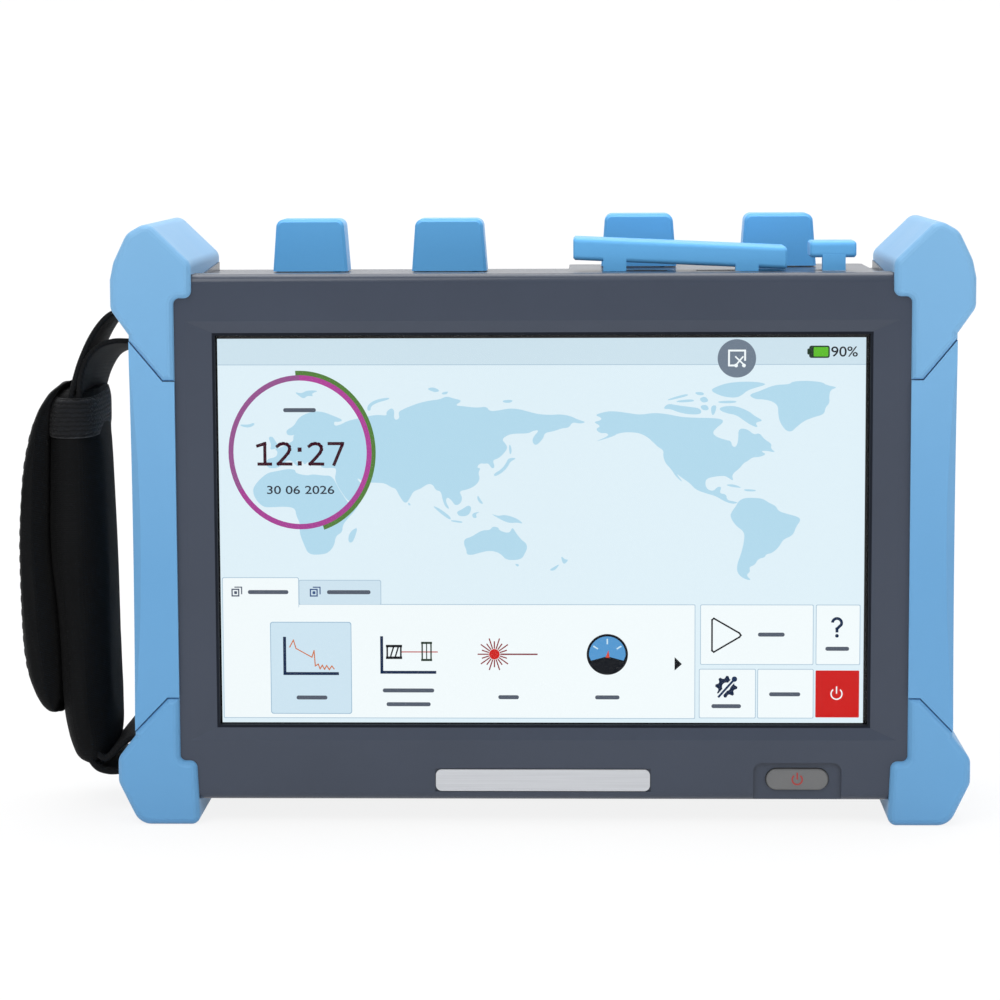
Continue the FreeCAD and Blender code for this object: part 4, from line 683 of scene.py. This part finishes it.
for first, last, tint in ring_shares:
    shape("clock_ring_%d" % first, tint, 7, *tall(arc_band(*clock, 18.0, 19.35, first * 5, last * 5, 24)))
shape("clock_charge", (84, 126, 58), 6, *tall(arc_band(*clock, 18.9, 20.45, -3, 162)))
digit_lines = {
    "1": [[(0.3, 1.0), (2.2, 0.4), (2.2, 5.9)], [(0.6, 5.95), (3.7, 5.95)]],
    "2": [[(0.3, 1.1), (1.0, 0.6), (1.9, 0.4), (2.9, 0.6), (3.5, 1.2), (3.6, 2.0), (3.2, 2.9), (2.2, 4.1),
           (0.5, 5.9), (3.9, 5.95)]],
    ":": [[(0.0, 2.0), (0.0, 2.1)], [(0.0, 5.7), (0.0, 5.8)]],
    "7": [[(0.3, 0.4), (3.9, 0.4), (3.8, 0.8), (1.6, 6.0)]],
}
for place, (digit, left) in enumerate((("1", -11.7), ("2", -6.4), (":", -0.1), ("2", 2.2), ("7", 7.6))):
    weight = COLON_WEIGHT if digit == ":" else DIGIT_WEIGHT
    lines = [[(clock[0] + left + across, clock[1] - 2.8 + down) for across, down in line]
             for line in digit_lines[digit]]
    for number, line in enumerate(lines):
        shape("clock_figure_%d_%d" % (place, number), (58, 20, 34), 8, *stroke(line, weight))
figures("clock_date", "30 06 2026", (44, 50, 62), 8, clock[0], 41.4, 2.3, 0.03, 1.3)
word_bar("clock_day", clock[0] - 4.4, 19.1, 8.8)

# Header: a round button for screen shots, and a battery gauge.
button = (139.5, 5.8)
shape("snap_button", (112, 126, 142), 8, disc(*button, 5.15))
shape("snap_frame", WHITE, 9, *strokes(
    0.5, at(button, (-2.1, 1.6), (-2.1, -2.1), (2.2, -2.1), (2.2, 0.4)),
    at(button, (-2.1, 1.9), (-0.8, 1.9))))
shape("snap_blades", WHITE, 9,
      *strokes(0.4, at(button, (-0.3, -0.4), (1.8, 1.6)), at(button, (1.6, -0.4), (-0.1, 1.6))),
      *[disc(*eye, 0.5, 16) for eye in at(button, (-0.2, 1.9), (1.9, 1.9))])
shape("battery_shell", (38, 58, 42), 8, tile(158.8, 2.4, 5.5, 3.3, 0.6), tile(158.3, 3.2, 0.8, 1.6, 0.3))
shape("battery_charge", (94, 188, 42), 9, tile(160.0, 2.8, 3.9, 2.5, 0.2))
figures("battery_figures", "90%", (30, 33, 40), 8, 168.2, 4.15, 2.8, 0.03, 1.14)

# Function tiles on a white tray, under two tabs.
shape("tray_edge", LINE, 5, tile(0.4, 72.4, 128.2, 31.4, 0.3))
shape("tray", WHITE, 6, tile(0.6, 72.6, 127.8, 31.0, 0.25))
shape("tab_back_edge", LINE, 5, tile(21.2, 65.8, 22.4, 7.4, 0.5))
shape("tab_back", (207, 228, 240), 6, tile(21.4, 66.0, 22.0, 6.5, 0.4))
shape("tab_front_edge", LINE, 6, tile(0.4, 65.1, 20.9, 8.4, 0.5))
shape("tab_front", WHITE, 7, tile(0.6, 65.3, 20.5, 8.7, 0.4))
for tab_name, left, colour in (("front", 3.1, (74, 84, 104)), ("back", 24.4, (56, 84, 132))):
    shape("tab_icon_" + tab_name, colour, 8,
          *stroke([(left, 68.4), (left + 1.8, 68.4), (left + 1.8, 70.2), (left, 70.2), (left, 68.4)], 0.35),
          *stroke([(left + 0.8, 67.8), (left + 2.6, 67.8), (left + 2.6, 69.6)], 0.3),
          tile(left + 0.55, 68.9, 0.8, 0.8, 0.2))
word_bar("tab_label_front", 7.4, 68.6, 11.0)
word_bar("tab_label_back", 28.9, 68.6, 11.8)

shape("chosen_edge", (150, 184, 208), 7, tile(13.3, 77.3, 22.1, 25.3, 0.7))
shape("chosen_tile", (206, 229, 242), 8, tile(13.5, 77.5, 21.7, 24.9, 0.6))
shape("trace_axes", NAVY, 9, *stroke([(17.2, 81.8), (17.2, 91.5), (31.5, 91.5)], 0.82))
shape("trace_line", (206, 116, 70), 9, *stroke(
    [(18.6, 84.2), (19.6, 82.3), (20.3, 84.6), (24.6, 87.0), (25.2, 85.2), (25.5, 89.4), (26.3, 88.9),
     (26.8, 90.2), (27.4, 89.2), (28.0, 90.3), (28.6, 89.3), (29.3, 90.4), (30.0, 89.4), (30.6, 90.2)], 0.3))
shape("link_axes", NAVY, 9, *stroke([(43.6, 81.6), (43.6, 91.1), (58.0, 91.1)], 0.8))
shape("link_fibre", (190, 70, 66), 9, *stroke([(49.0, 85.5), (58.7, 85.5)], 0.3))
shape("link_plug", BLACK, 10,
      *strokes(0.7, [(45.1, 83.9), (48.8, 83.9)], [(45.1, 87.1), (48.8, 87.1)]),
      *strokes(0.45, [(45.1, 83.8), (45.1, 87.2)], [(48.8, 83.8), (48.8, 87.2)]),
      *strokes(0.4, [(46.0, 86.8), (46.8, 84.2)], [(47.3, 86.8), (48.1, 84.2)]))
shape("link_socket", (34, 54, 40), 10,
      *strokes(0.6, [(54.6, 83.0), (57.0, 83.0)], [(54.6, 87.7), (57.0, 87.7)]),
      *strokes(0.4, [(54.6, 83.0), (54.6, 87.7)], [(57.0, 83.0), (57.0, 87.7)]),
      *stroke([(55.8, 83.2), (55.8, 87.5)], 0.3))
burst = (74.2, 86.1)
RAYS = 20
rays = []
for i in range(RAYS):
    turn = 2 * math.pi * i / RAYS
    reach = 4.4 if i % 2 == 0 else 3.4
    rays += stroke([polar(burst, 1.7, turn), polar(burst, reach, turn)], 0.33)
shape("beam_rays", (138, 34, 42), 9, *rays)
shape("beam_core", (206, 34, 30), 10, disc(*burst, 1.45, 24))
shape("beam_line", (134, 60, 70), 9, *stroke(at(burst, (2, 0), (11.5, 0)), 0.42))
dial = (104.8, 86.1)
shape("dial_rim", (6, 11, 20), 9, disc(*dial, 5.6))
half_dial = [polar(dial, 4.95, math.pi * (0.97 + i * 1.06 / 24)) for i in range(25)]
shape("dial_sky", (84, 152, 208), 10, half_dial + at(dial, (4.4, 1.7), (0, 0.5), (-4.4, 1.7)))
marks = []
for share in (-0.32, 0.0, 0.32):
    turn = math.pi * (1.5 + share)
    marks += stroke([(dial[0] + 3.2 * math.cos(turn), dial[1] + 3.0 * math.sin(turn)),
                     (dial[0] + 4.3 * math.cos(turn), dial[1] + 4.1 * math.sin(turn))], 0.4)
shape("dial_marks", (196, 226, 242), 11, *marks)
shape("dial_needle", (214, 74, 48), 11, at(dial, (-0.5, 0.9), (0.3, -1.2), (0.6, 0.9)))
for label, across, down, width in (
    ("trace", 24.5, 98.1, 8.4), ("link", 50.8, 96.1, 14.0), ("link_more", 50.8, 99.9, 12.0),
    ("beam", 78.0, 97.9, 5.6), ("dial", 104.8, 97.9, 6.6),
):
    word_bar("tile_label_" + label, across - width / 2, down - 0.55, width, 9)
shape("next_arrow", BLACK, 9, [(123.0, 86.8), (125.0, 88.7), (123.0, 90.5)])

# Button block on the right.
for label, left, top, width, height in (
    ("start", 130.1, 72.6, 30.2, 16.1), ("help", 161.3, 72.6, 11.6, 16.1),
    ("setup", 129.8, 90.2, 15.0, 13.2), ("about", 145.6, 90.2, 14.8, 13.2),
):
    shape(label + "_edge", LINE, 5, tile(left - 0.2, top - 0.2, width + 0.4, height + 0.4, 0.4))
    shape(label + "_tile", WHITE, 6, tile(left, top, width, height, 0.3))
shape("start_mark", BLACK, 8, *stroke([
    (133.1, 76.6), (133.6, 76.2), (140.5, 80.2), (140.9, 80.8), (140.5, 81.3), (133.6, 85.4),
    (133.1, 85.0), (133.1, 76.6)], 0.45))
word_bar("start_label", 145.5, 80.05, 7.2)
question = arc_band(166.8, 77.4, 0.85, 1.62, -85, 125, 20)
shape("help_mark", NAVY, 8, *question, *stroke([(167.5, 78.3), (166.8, 79.0), (166.8, 79.6)], 0.78),
      disc(166.8, 80.9, 0.5, 16))
word_bar("help_label", 163.7, 83.9, 6.4)
gear = (137.0, 94.9)
CORNERS = 32  # four to a tooth
teeth = [polar(gear, 3.0 if i % 4 < 2 else 2.3, 2 * math.pi * i / CORNERS) for i in range(CORNERS)]
shape("setup_gear", (20, 36, 66), 8, teeth)
shape("setup_hub", WHITE, 9, disc(*gear, 1.15, 24))
shape("setup_gap", WHITE, 10, *stroke([(134.6, 98.0), (139.3, 92.7)], 1.3))
shape("setup_tool", (26, 48, 84), 11, *stroke([(135.0, 97.6), (138.7, 93.4)], 0.6),
      disc(139.2, 92.8, 0.75, 16))
word_bar("setup_label", 133.0, 99.7, 8.0)
word_bar("about_label", 148.6, 96.4, 8.4)
shape("off_tile", (204, 22, 19), 6, tile(161.1, 90.4, 11.8, 12.9, 0.25))
off = (166.8, 96.8)
shape("off_mark", WHITE, 8, *arc_band(*off, 1.3, 1.65, 38, 322, 32),
      *stroke(at(off, (0, -1.9), (0, -0.2)), 0.34))

# ---------------------------------------------------------------- hand strap padding
# The strap has a wrap of padded nylon that the fingers close round, and on its outside a
# second, wider pad for the back of the hand. Both are foam between woven nylon faces.

WRAP_WIDTH, WRAP_CORNER = 40.0, 5.0
PAD_WIDTH, PAD_CORNER = 50.0, 13.0
AROUND = 56  # points round a soft bar
SQUARE_X, SQUARE_Y = 0.75, 0.5  # how square a bar's section is each way: 1 is a plain round
PRESSURE = 3.0
CUFF_TILT = 0.03

# Rows of height over the table, outer side and inner side from the middle of the bezel.
wrap_sides = [
    (13.2, -128.2, -123.0), (15.6, -130.4, -120.9), (20.4, -132.2, -120.1), (27.0, -133.5, -120.3),
    (37.0, -134.1, -120.7), (52.0, -134.9, -120.9), (74.0, -136.6, -121.2), (96.0, -136.2, -121.8),
    (107.0, -135.8, -122.3), (113.0, -135.1, -122.4), (117.0, -132.8, -122.9),
]
pad_sides = [
    (26.6, -134.9, -133.0), (28.0, -137.3, -133.6), (30.0, -138.9, -133.8), (33.1, -140.3, -134.0),
    (38.3, -142.0, -134.3), (45.0, -143.0, -134.7), (56.0, -143.3, -135.4), (75.0, -143.1, -136.8),
    (86.0, -142.6, -136.7), (97.0, -141.8, -136.4), (107.0, -139.8, -136.0), (112.3, -137.5, -135.2),
    (115.8, -134.8, -132.6), (118.6, -131.6, -129.9),
]


def steered(before, low, high, after, share):
    """A row of values on the smooth curve from low to high, which the rows beside them steer."""
    return tuple(0.5 * (2 * b + (c - a) * share + (2 * a - 5 * b + 4 * c - d) * share ** 2
                        + (3 * b - a - 3 * c + d) * share ** 3)
                 for a, b, c, d in zip(before, low, high, after))


def along(table, height):
    """Read the outer and inner side at one height from a table of rows."""
    rows = [table[0]] + table + [table[-1]]
    for before, low, high, after in zip(rows, rows[1:], rows[2:], rows[3:]):
        if low[0] <= height <= high[0] and high[0] > low[0]:
            share = (height - low[0]) / (high[0] - low[0])
            return steered(before[1:], low[1:], high[1:], after[1:], share)
    return table[-1][1:]


def round_bar(step):
    """One point of a bar's rounded section, each way from -1 to 1."""
    turn = 2 * math.pi * step / AROUND
    cosine, sine = math.cos(turn), math.sin(turn)
    return math.copysign(abs(cosine) ** SQUARE_X, cosine), math.copysign(abs(sine) ** SQUARE_Y, sine)


def padded_form(name, sides, width, corner, rings=64):
    """A closed, crowned pad: rounded bars stacked up the height, with rounded corners."""
    low, high = sides[0][0], sides[-1][0]
    vertices, faces = [], []
    for ring in range(rings + 1):
        height = low + (high - low) * (0.5 - 0.5 * math.cos(math.pi * ring / rings))
        outer, inner = along(sides, height)
        to_end = min(height - low, high - height)
        fall = max(corner - to_end, 0)
        half_width = width / 2 - corner + math.sqrt(max(corner ** 2 - fall ** 2, 0))
        for step in range(AROUND):
            flat_x, flat_y = round_bar(step)
            x = (outer + inner) / 2 + (inner - outer) / 2 * flat_x
            vertices.append((middle_x + x * MM, half_width * flat_y * MM, height * MM))
    for ring in range(rings):
        for step in range(AROUND):
            after = (step + 1) % AROUND
            faces.append((ring * AROUND + step, ring * AROUND + after,
                          (ring + 1) * AROUND + after, (ring + 1) * AROUND + step))
    faces.append(tuple(reversed(range(AROUND))))
    faces.append(tuple(range(rings * AROUND, (rings + 1) * AROUND)))
    return mesh_object(name, vertices, faces, smooth=True)


def stuff(pad, reach, frames=20):
    """Swell a pad like filled cloth, then keep each point within reach of where it began."""
    start = [vertex.co.copy() for vertex in pad.data.vertices]
    cloth = pad.modifiers.new("cloth", "CLOTH")
    how = cloth.settings
    how.quality = 6
    how.mass = 0.2
    how.tension_stiffness = 14
    how.compression_stiffness = 14
    how.bending_stiffness = 1.2
    how.use_pressure = True
    how.uniform_pressure_force = PRESSURE
    how.effector_weights.gravity = 0
    cloth.point_cache.frame_start = 1
    cloth.point_cache.frame_end = frames
    for frame_number in range(1, frames + 1):
        scene.frame_set(frame_number)
    bake(pad)
    scene.frame_set(1)
    for vertex, origin in zip(pad.data.vertices, start):
        move = vertex.co - origin
        if move.length > reach:
            vertex.co = origin + move.normalized() * reach


def bake(item):
    """Apply every modifier to the mesh."""
    bpy.context.view_layer.update()
    seen = item.evaluated_get(bpy.context.evaluated_depsgraph_get())
    mesh = bpy.data.meshes.new_from_object(seen)
    item.modifiers.clear()
    item.data = mesh
    for face in mesh.polygons:
        face.use_smooth = True


def crease(level, depth, band):
    """Press a soft fold into the wrap across its whole girth, where the cuff begins."""
    for vertex in wrap.data.vertices:
        height = vertex.co.z / MM
        gap = abs(height - level - CUFF_TILT * vertex.co.y / MM)
        if gap < band:
            outer, inner = along(wrap_sides, height)
            inward = (outer + inner) / 2 * MM + middle_x - vertex.co.x
            vertex.co.x += math.copysign(min(abs(inward), depth * MM) * (1 - gap / band) ** 2, inward)


wrap = padded_form("wrap_pad", wrap_sides, WRAP_WIDTH, WRAP_CORNER)
pad = padded_form("hand_pad", pad_sides, PAD_WIDTH, PAD_CORNER)
stuff(wrap, reach=0.7 * MM)
stuff(pad, reach=0.8 * MM)
crease(level=103.8, depth=0.5, band=1.1)
for soft_piece in (wrap, pad):
    finer = soft_piece.modifiers.new("finer", "SUBSURF")
    finer.levels = finer.render_levels = 1
    bake(soft_piece)

nylon = Finish("woven_nylon", Specular_IOR_Level=0.13, Sheen_Weight=0.02, Sheen_Roughness=0.5)
warp, weft = [
    nylon.node("TexWave", {"bands_direction": way},
               {"Vector": nylon.place(), "Scale": 620.0, "Distortion": 0.35, "Detail": 1.0})
    for way in "ZY"
]
weave = warp * weft
nylon.set(
    Base_Color=nylon.mix(nylon.noise(24.0, 4.0) * 0.6 + weave * 0.4,
                         linear(6, 6, 7), linear(17, 18, 19)),
    Roughness=0.72 + 0.2 * nylon.noise(70.0),
    Normal=nylon.bump(weave + nylon.noise(420.0, 2.0) * 0.5, 0.00012, 0.7),
)
nylon.paint(wrap, pad)
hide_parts("strap_wrap")
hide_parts("strap_pad")
for soft_piece in (wrap, pad):
    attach(soft_piece, "case")

# ---------------------------------------------------------------- webbing
# Black nylon webbing, 38 mm wide. It runs inside the wrap, leaves it at both ends, goes round
# a steel bar across the slot in a corner guard and comes back, so two layers show at each end.

WEBBING_WIDTH = 38.0
WEBBING_THICK = 1.5


def smooth_path(points, steps=7):
    """A curve through given points."""
    rows = [points[0]] + points + [points[-1]]
    path = [steered(*four, step / steps)
            for four in zip(rows, rows[1:], rows[2:], rows[3:]) for step in range(steps)]
    return path + [points[-1]]


def ribbon(name, points, width, thick, selvedge=1.6):
    """A strip of webbing along a path seen from the front, a little thicker at its selvedges."""
    path = smooth_path(points)
    half = width / 2
    across = [-half, -half + 0.5, -half + selvedge, -half / 3, half / 3, half - selvedge, half - 0.5, half]
    swell = [0.35, 0.95, 1.0, 0.86, 0.86, 1.0, 0.95, 0.35]
    vertices, faces = [], []
    count = 2 * len(across)
    for i, (x, z, out, up) in enumerate(path):
        before, after = path[max(i - 1, 0)], path[min(i + 1, len(path) - 1)]
        run_x, run_z = after[0] - before[0], after[1] - before[1]
        length = math.hypot(run_x, run_z)
        side_x, side_z = -run_z / length, run_x / length
        there = list(zip(across, swell))
        for y, s in there + [(y, -s) for y, s in reversed(there)]:
            shift = s * thick / 2
            edge = y / half
            vertices.append((middle_x + (x + side_x * shift + out * edge) * MM, y * MM,
                             (z + side_z * shift - up * edge) * MM))
    for i in range(len(path) - 1):
        for k in range(count):
            nxt = (k + 1) % count
            faces.append((i * count + k, i * count + nxt, (i + 1) * count + nxt, (i + 1) * count + k))
    faces.append(tuple(reversed(range(count))))
    last = (len(path) - 1) * count
    faces.append(tuple(range(last, last + count)))
    made = mesh_object(name, vertices, faces, smooth=True)
    fix = bmesh.new()
    fix.from_mesh(made.data)
    bmesh.ops.recalc_face_normals(fix, faces=fix.faces[:])
    fix.to_mesh(made.data)
    fix.free()
    return made


# Rows of place across and height, then how far the front edge leans out and up.
top_run = [
    (-129.6, 108.0, 0, 0), (-129.3, 113.0, 0, 0), (-127.9, 118.8, 0, 0), (-125.9, 125.2, 0, 0),
    (-122.8, 131.8, 0, 0), (-119.3, 136.5, 0, 0), (-116.1, 138.5, 0, 0), (-112.0, 138.2, 0, 0),
    (-107.9, 136.0, 0, 0), (-105.4, 133.4, 0, 0), (-107.9, 130.8, 0, 0), (-112.0, 129.4, 0.4, 1.3),
    (-115.8, 128.8, 1.0, 1.9), (-119.5, 127.8, 1.5, 1.4), (-122.5, 125.3, 1.7, 0.5),
    (-124.5, 121.4, 1.4, 0.1), (-125.5, 117.4, 0.9, 0), (-126.0, 113.0, 0.4, 0), (-126.2, 108.0, 0, 0),
]
bottom_run = [
    (-126.4, 20.0, 0, 0), (-125.8, 16.0, 0, 0), (-123.6, 12.7, 0, 0), (-120.4, 11.5, 0, 0),
    (-116.8, 11.6, 0, 0), (-112.0, 12.4, 0, 0), (-107.9, 13.8, 0, 0), (-105.4, 16.4, 0, 0),
    (-107.9, 19.0, 0, 0), (-110.8, 21.0, 0, -0.3), (-113.8, 21.5, 0, -0.7), (-116.8, 19.7, 0, -1.0),
    (-119.2, 17.2, 0, -0.8), (-121.4, 15.4, 0, -0.3), (-123.6, 17.4, 0, 0), (-124.6, 22.0, 0, 0),
]
webbing = Finish("webbing_nylon", Specular_IOR_Level=0.18, Sheen_Weight=0.03, Sheen_Roughness=0.5)
rib = webbing.node("TexWave", {"bands_direction": "Y"},
                   {"Vector": webbing.place(), "Scale": 210.0, "Distortion": 0.2})
pick = webbing.node("TexWave", {"bands_direction": "DIAGONAL"},
                    {"Vector": webbing.place(), "Scale": 420.0, "Distortion": 0.6, "Detail": 1.0})
webbing.set(
    Base_Color=webbing.mix(rib * 0.5 + pick * 0.3 + webbing.noise(30.0) * 0.2,
                           linear(4, 4, 5), linear(15, 16, 18)),
    Roughness=0.66 + 0.2 * webbing.noise(80.0),
    Normal=webbing.bump(rib + pick * 0.6, 0.0002, 0.8),
)
for ribbon_name, run, stands_for in (("webbing_top", top_run, "strap_webbing_top"),
                                     ("webbing_bottom", bottom_run, "strap_webbing_bottom")):
    strip = ribbon(ribbon_name, run, WEBBING_WIDTH, WEBBING_THICK)
    webbing.paint(strip)
    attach(strip, "case")
    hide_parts(stands_for)

# ---------------------------------------------------------------- strap cuff and stitching
# A cuff of hook-and-loop tape closes the top of the wrap, ribbed across. A double row of
# thread runs round the outer pad, a little in from its edge.


def cuff(name, low, high, proud):
    """A sleeve that hugs the wrap between two heights, a little curled in at its edges."""
    rings, around, thick, edge_curl = 8, AROUND, 0.9, 0.35
    vertices, faces = [], []
    for layer in (proud, proud - thick):
        for ring in range(rings + 1):
            share = ring / rings
            curl = -edge_curl * abs(2 * share - 1) ** 4
            for step in range(around):
                flat_x, flat_y = round_bar(step)
                y = (WRAP_WIDTH / 2 + layer + curl) * flat_y
                height = low + (high - low) * share + CUFF_TILT * y
                outer, inner = along(wrap_sides, height)
                x = (outer + inner) / 2 + ((inner - outer) / 2 + layer + curl) * flat_x
                vertices.append((middle_x + x * MM, y * MM, height * MM))
    shell = (rings + 1) * around
    for ring in range(rings):
        for step in range(around):
            after = (step + 1) % around
            a, b = ring * around + step, ring * around + after
            faces.append((a, b, b + around, a + around))
            faces.append((shell + b, shell + a, shell + a + around, shell + b + around))
    for step in range(around):
        after = (step + 1) % around
        top = rings * around
        faces.append((shell + step, shell + after, after, step))
        faces.append((top + step, top + after, shell + top + after, shell + top + step))
    return mesh_object(name, vertices, faces, smooth=True)


def pad_rim(share, inset):
    """A place on the outer face of the pad, going round its edge as the share runs from 0 to 1."""
    low, high = pad_sides[0][0] + inset, pad_sides[-1][0] - inset
    half_y, half_z = PAD_WIDTH / 2 - inset, (high - low) / 2
    flat_y, flat_z = half_y - PAD_CORNER, half_z - PAD_CORNER
    bend = math.pi * PAD_CORNER / 2
    travel = share * 2 * (2 * flat_y + 2 * flat_z + 2 * bend)
    for index, run in enumerate([2 * flat_y, bend, 2 * flat_z, bend] * 2):
        if travel <= run:
            break
        travel -= run
    side = index // 2
    if index % 2 == 0:
        start_y, start_z = ((flat_y, half_z), (-half_y, flat_z), (-flat_y, -half_z), (half_y, -flat_z))[side]
        way_y, way_z = ((-1, 0), (0, -1), (1, 0), (0, 1))[side]
        y, z = start_y + way_y * travel, start_z + way_z * travel
    else:
        sign_y, sign_z = ((-1, 1), (-1, -1), (1, -1), (1, 1))[side]
        turn = math.pi / 2 * (side + 1) + travel / PAD_CORNER
        y = sign_y * flat_y + PAD_CORNER * math.cos(turn)
        z = sign_z * flat_z + PAD_CORNER * math.sin(turn)
    return y, (low + high) / 2 + z


STITCH_LENGTH, STITCH_PITCH, STITCH_GIRTH = 2.6, 4.2, 0.34
SUNK = 0.22  # how far a thread's middle stands off the cloth, over its girth
FAR_LEFT = -160


def stitches(name, inset, count):
    """Short raised threads round the pad's outer face, each laid on the cloth below it."""
    bpy.context.view_layer.update()
    build = bmesh.new()
    radius = STITCH_GIRTH / 2 * MM
    for i in range(count):
        ends = []
        for share in (i / count, (i + STITCH_LENGTH / STITCH_PITCH) / count):
            y, z = pad_rim(share % 1.0, inset)
            start = Vector((middle_x + FAR_LEFT * MM, y * MM, z * MM))
            hit, spot_found, normal, _ = pad.ray_cast(start, Vector((1, 0, 0)))
            if hit:
                ends.append((spot_found, normal))
        if len(ends) < 2:
            continue
        (a, normal_a), (b, normal_b) = ends
        thread_run = b - a
        if thread_run.length < 0.5 * MM:
            continue
        middle = (a + b) / 2 + (normal_a + normal_b).normalized() * STITCH_GIRTH * SUNK * MM
        turn = thread_run.to_track_quat("Z", "X").to_matrix().to_4x4()
        scale = Matrix.Diagonal((radius, radius, thread_run.length / 2, 1))
        bmesh.ops.create_uvsphere(build, u_segments=6, v_segments=5, radius=1.0,
                                  matrix=Matrix.Translation(middle) @ turn @ scale)
    return built_object(name, build, smooth=True)


tape = Finish("loop_tape", Specular_IOR_Level=0.2, Sheen_Weight=0.12, Sheen_Roughness=0.5)
tape_rib = tape.node("TexWave", {"bands_direction": "Z"},
                     {"Vector": tape.place(), "Scale": 260.0, "Distortion": 3.0,
                      "Detail": 2.0, "Detail Scale": 2.0})
tape.set(
    Base_Color=tape.mix(tape_rib * 0.6 + tape.noise(300.0) * 0.4, linear(7, 8, 9), linear(27, 28, 31)),
    Roughness=0.8 + 0.15 * tape.noise(120.0),
    Normal=tape.bump(tape_rib + tape.noise(700.0) * 0.6, 0.0003, 0.9),
)
thread = Finish("dark_thread", Specular_IOR_Level=0.35, Sheen_Weight=0.2)
thread.set(Base_Color=thread.mix(thread.noise(500.0), linear(18, 19, 20), linear(32, 33, 35)),
           Roughness=0.55 + 0.2 * thread.noise(300.0))
upper_cuff = cuff("cuff_top", low=104.8, high=115.6, proud=0.5)
tape.paint(upper_cuff)
rows = [stitches("stitch_row_outer", 5.0, 60), stitches("stitch_row_inner", 7.0, 56)]
thread.paint(*rows)
for sewn in (upper_cuff, *rows):
    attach(sewn, "case")

# ---------------------------------------------------------------- name plate and power button
# The plate is brushed aluminium, bare. The button is a clear grey key with a red mark for
# power printed on its face.

plate = Finish("brushed_plate", Metallic=0.85)
plate_brush = plate.noise(40.0, 4.0, (1, 1, 60))
plate.set(Base_Color=plate.mix(plate_brush, linear(196, 198, 202), linear(222, 224, 228)),
          Roughness=0.34 + 0.16 * plate_brush,
          Normal=plate.bump(plate.noise(120.0, 3.0, (1, 1, 40)), 0.00003, 0.4))
plate.paint(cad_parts["nameplate"])

key = Finish("grey_key", Specular_IOR_Level=0.5, Coat_Weight=0.25, Coat_Roughness=0.2)
key.set(Base_Color=key.mix(key.noise(160.0, 2.0), linear(98, 99, 100), linear(108, 108, 108)),
        Roughness=0.34 + 0.1 * key.noise(90.0))
key.paint(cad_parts["power_button"])

key_low, key_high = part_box("power_button")
key_x = (key_low.x + key_high.x) / 2
key_z = (key_low.z + key_high.z) / 2


def power_mark(name, x, y, z, radius, line):
    """The usual mark for power: a broken ring with a bar in its gap."""
    build = bmesh.new()
    outlines = arc_band(0, 0, radius - line / 2, radius + line / 2, 38, 322, 36)
    outlines += stroke([(0, -radius * 1.25), (0, -radius * 0.15)], line)
    for outline in outlines:
        corners = [build.verts.new((x + across * MM, y, z - down * MM)) for across, down in outline]
        build.faces.new(corners)
    bmesh.ops.remove_doubles(build, verts=build.verts[:], dist=1e-6)
    bmesh.ops.recalc_face_normals(build, faces=build.faces[:])
    return built_object(name, build)


red = Finish("red_mark", Specular_IOR_Level=0.5)
red.set(Base_Color=red.mix(red.noise(300.0), linear(150, 44, 44), linear(172, 56, 52)),
        Roughness=0.35 + 0.1 * red.noise(200.0))
mark = power_mark("power_mark", key_x, key_low.y - 0.03 * MM, key_z, radius=1.35, line=0.42)
red.paint(mark)
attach(mark, "button")
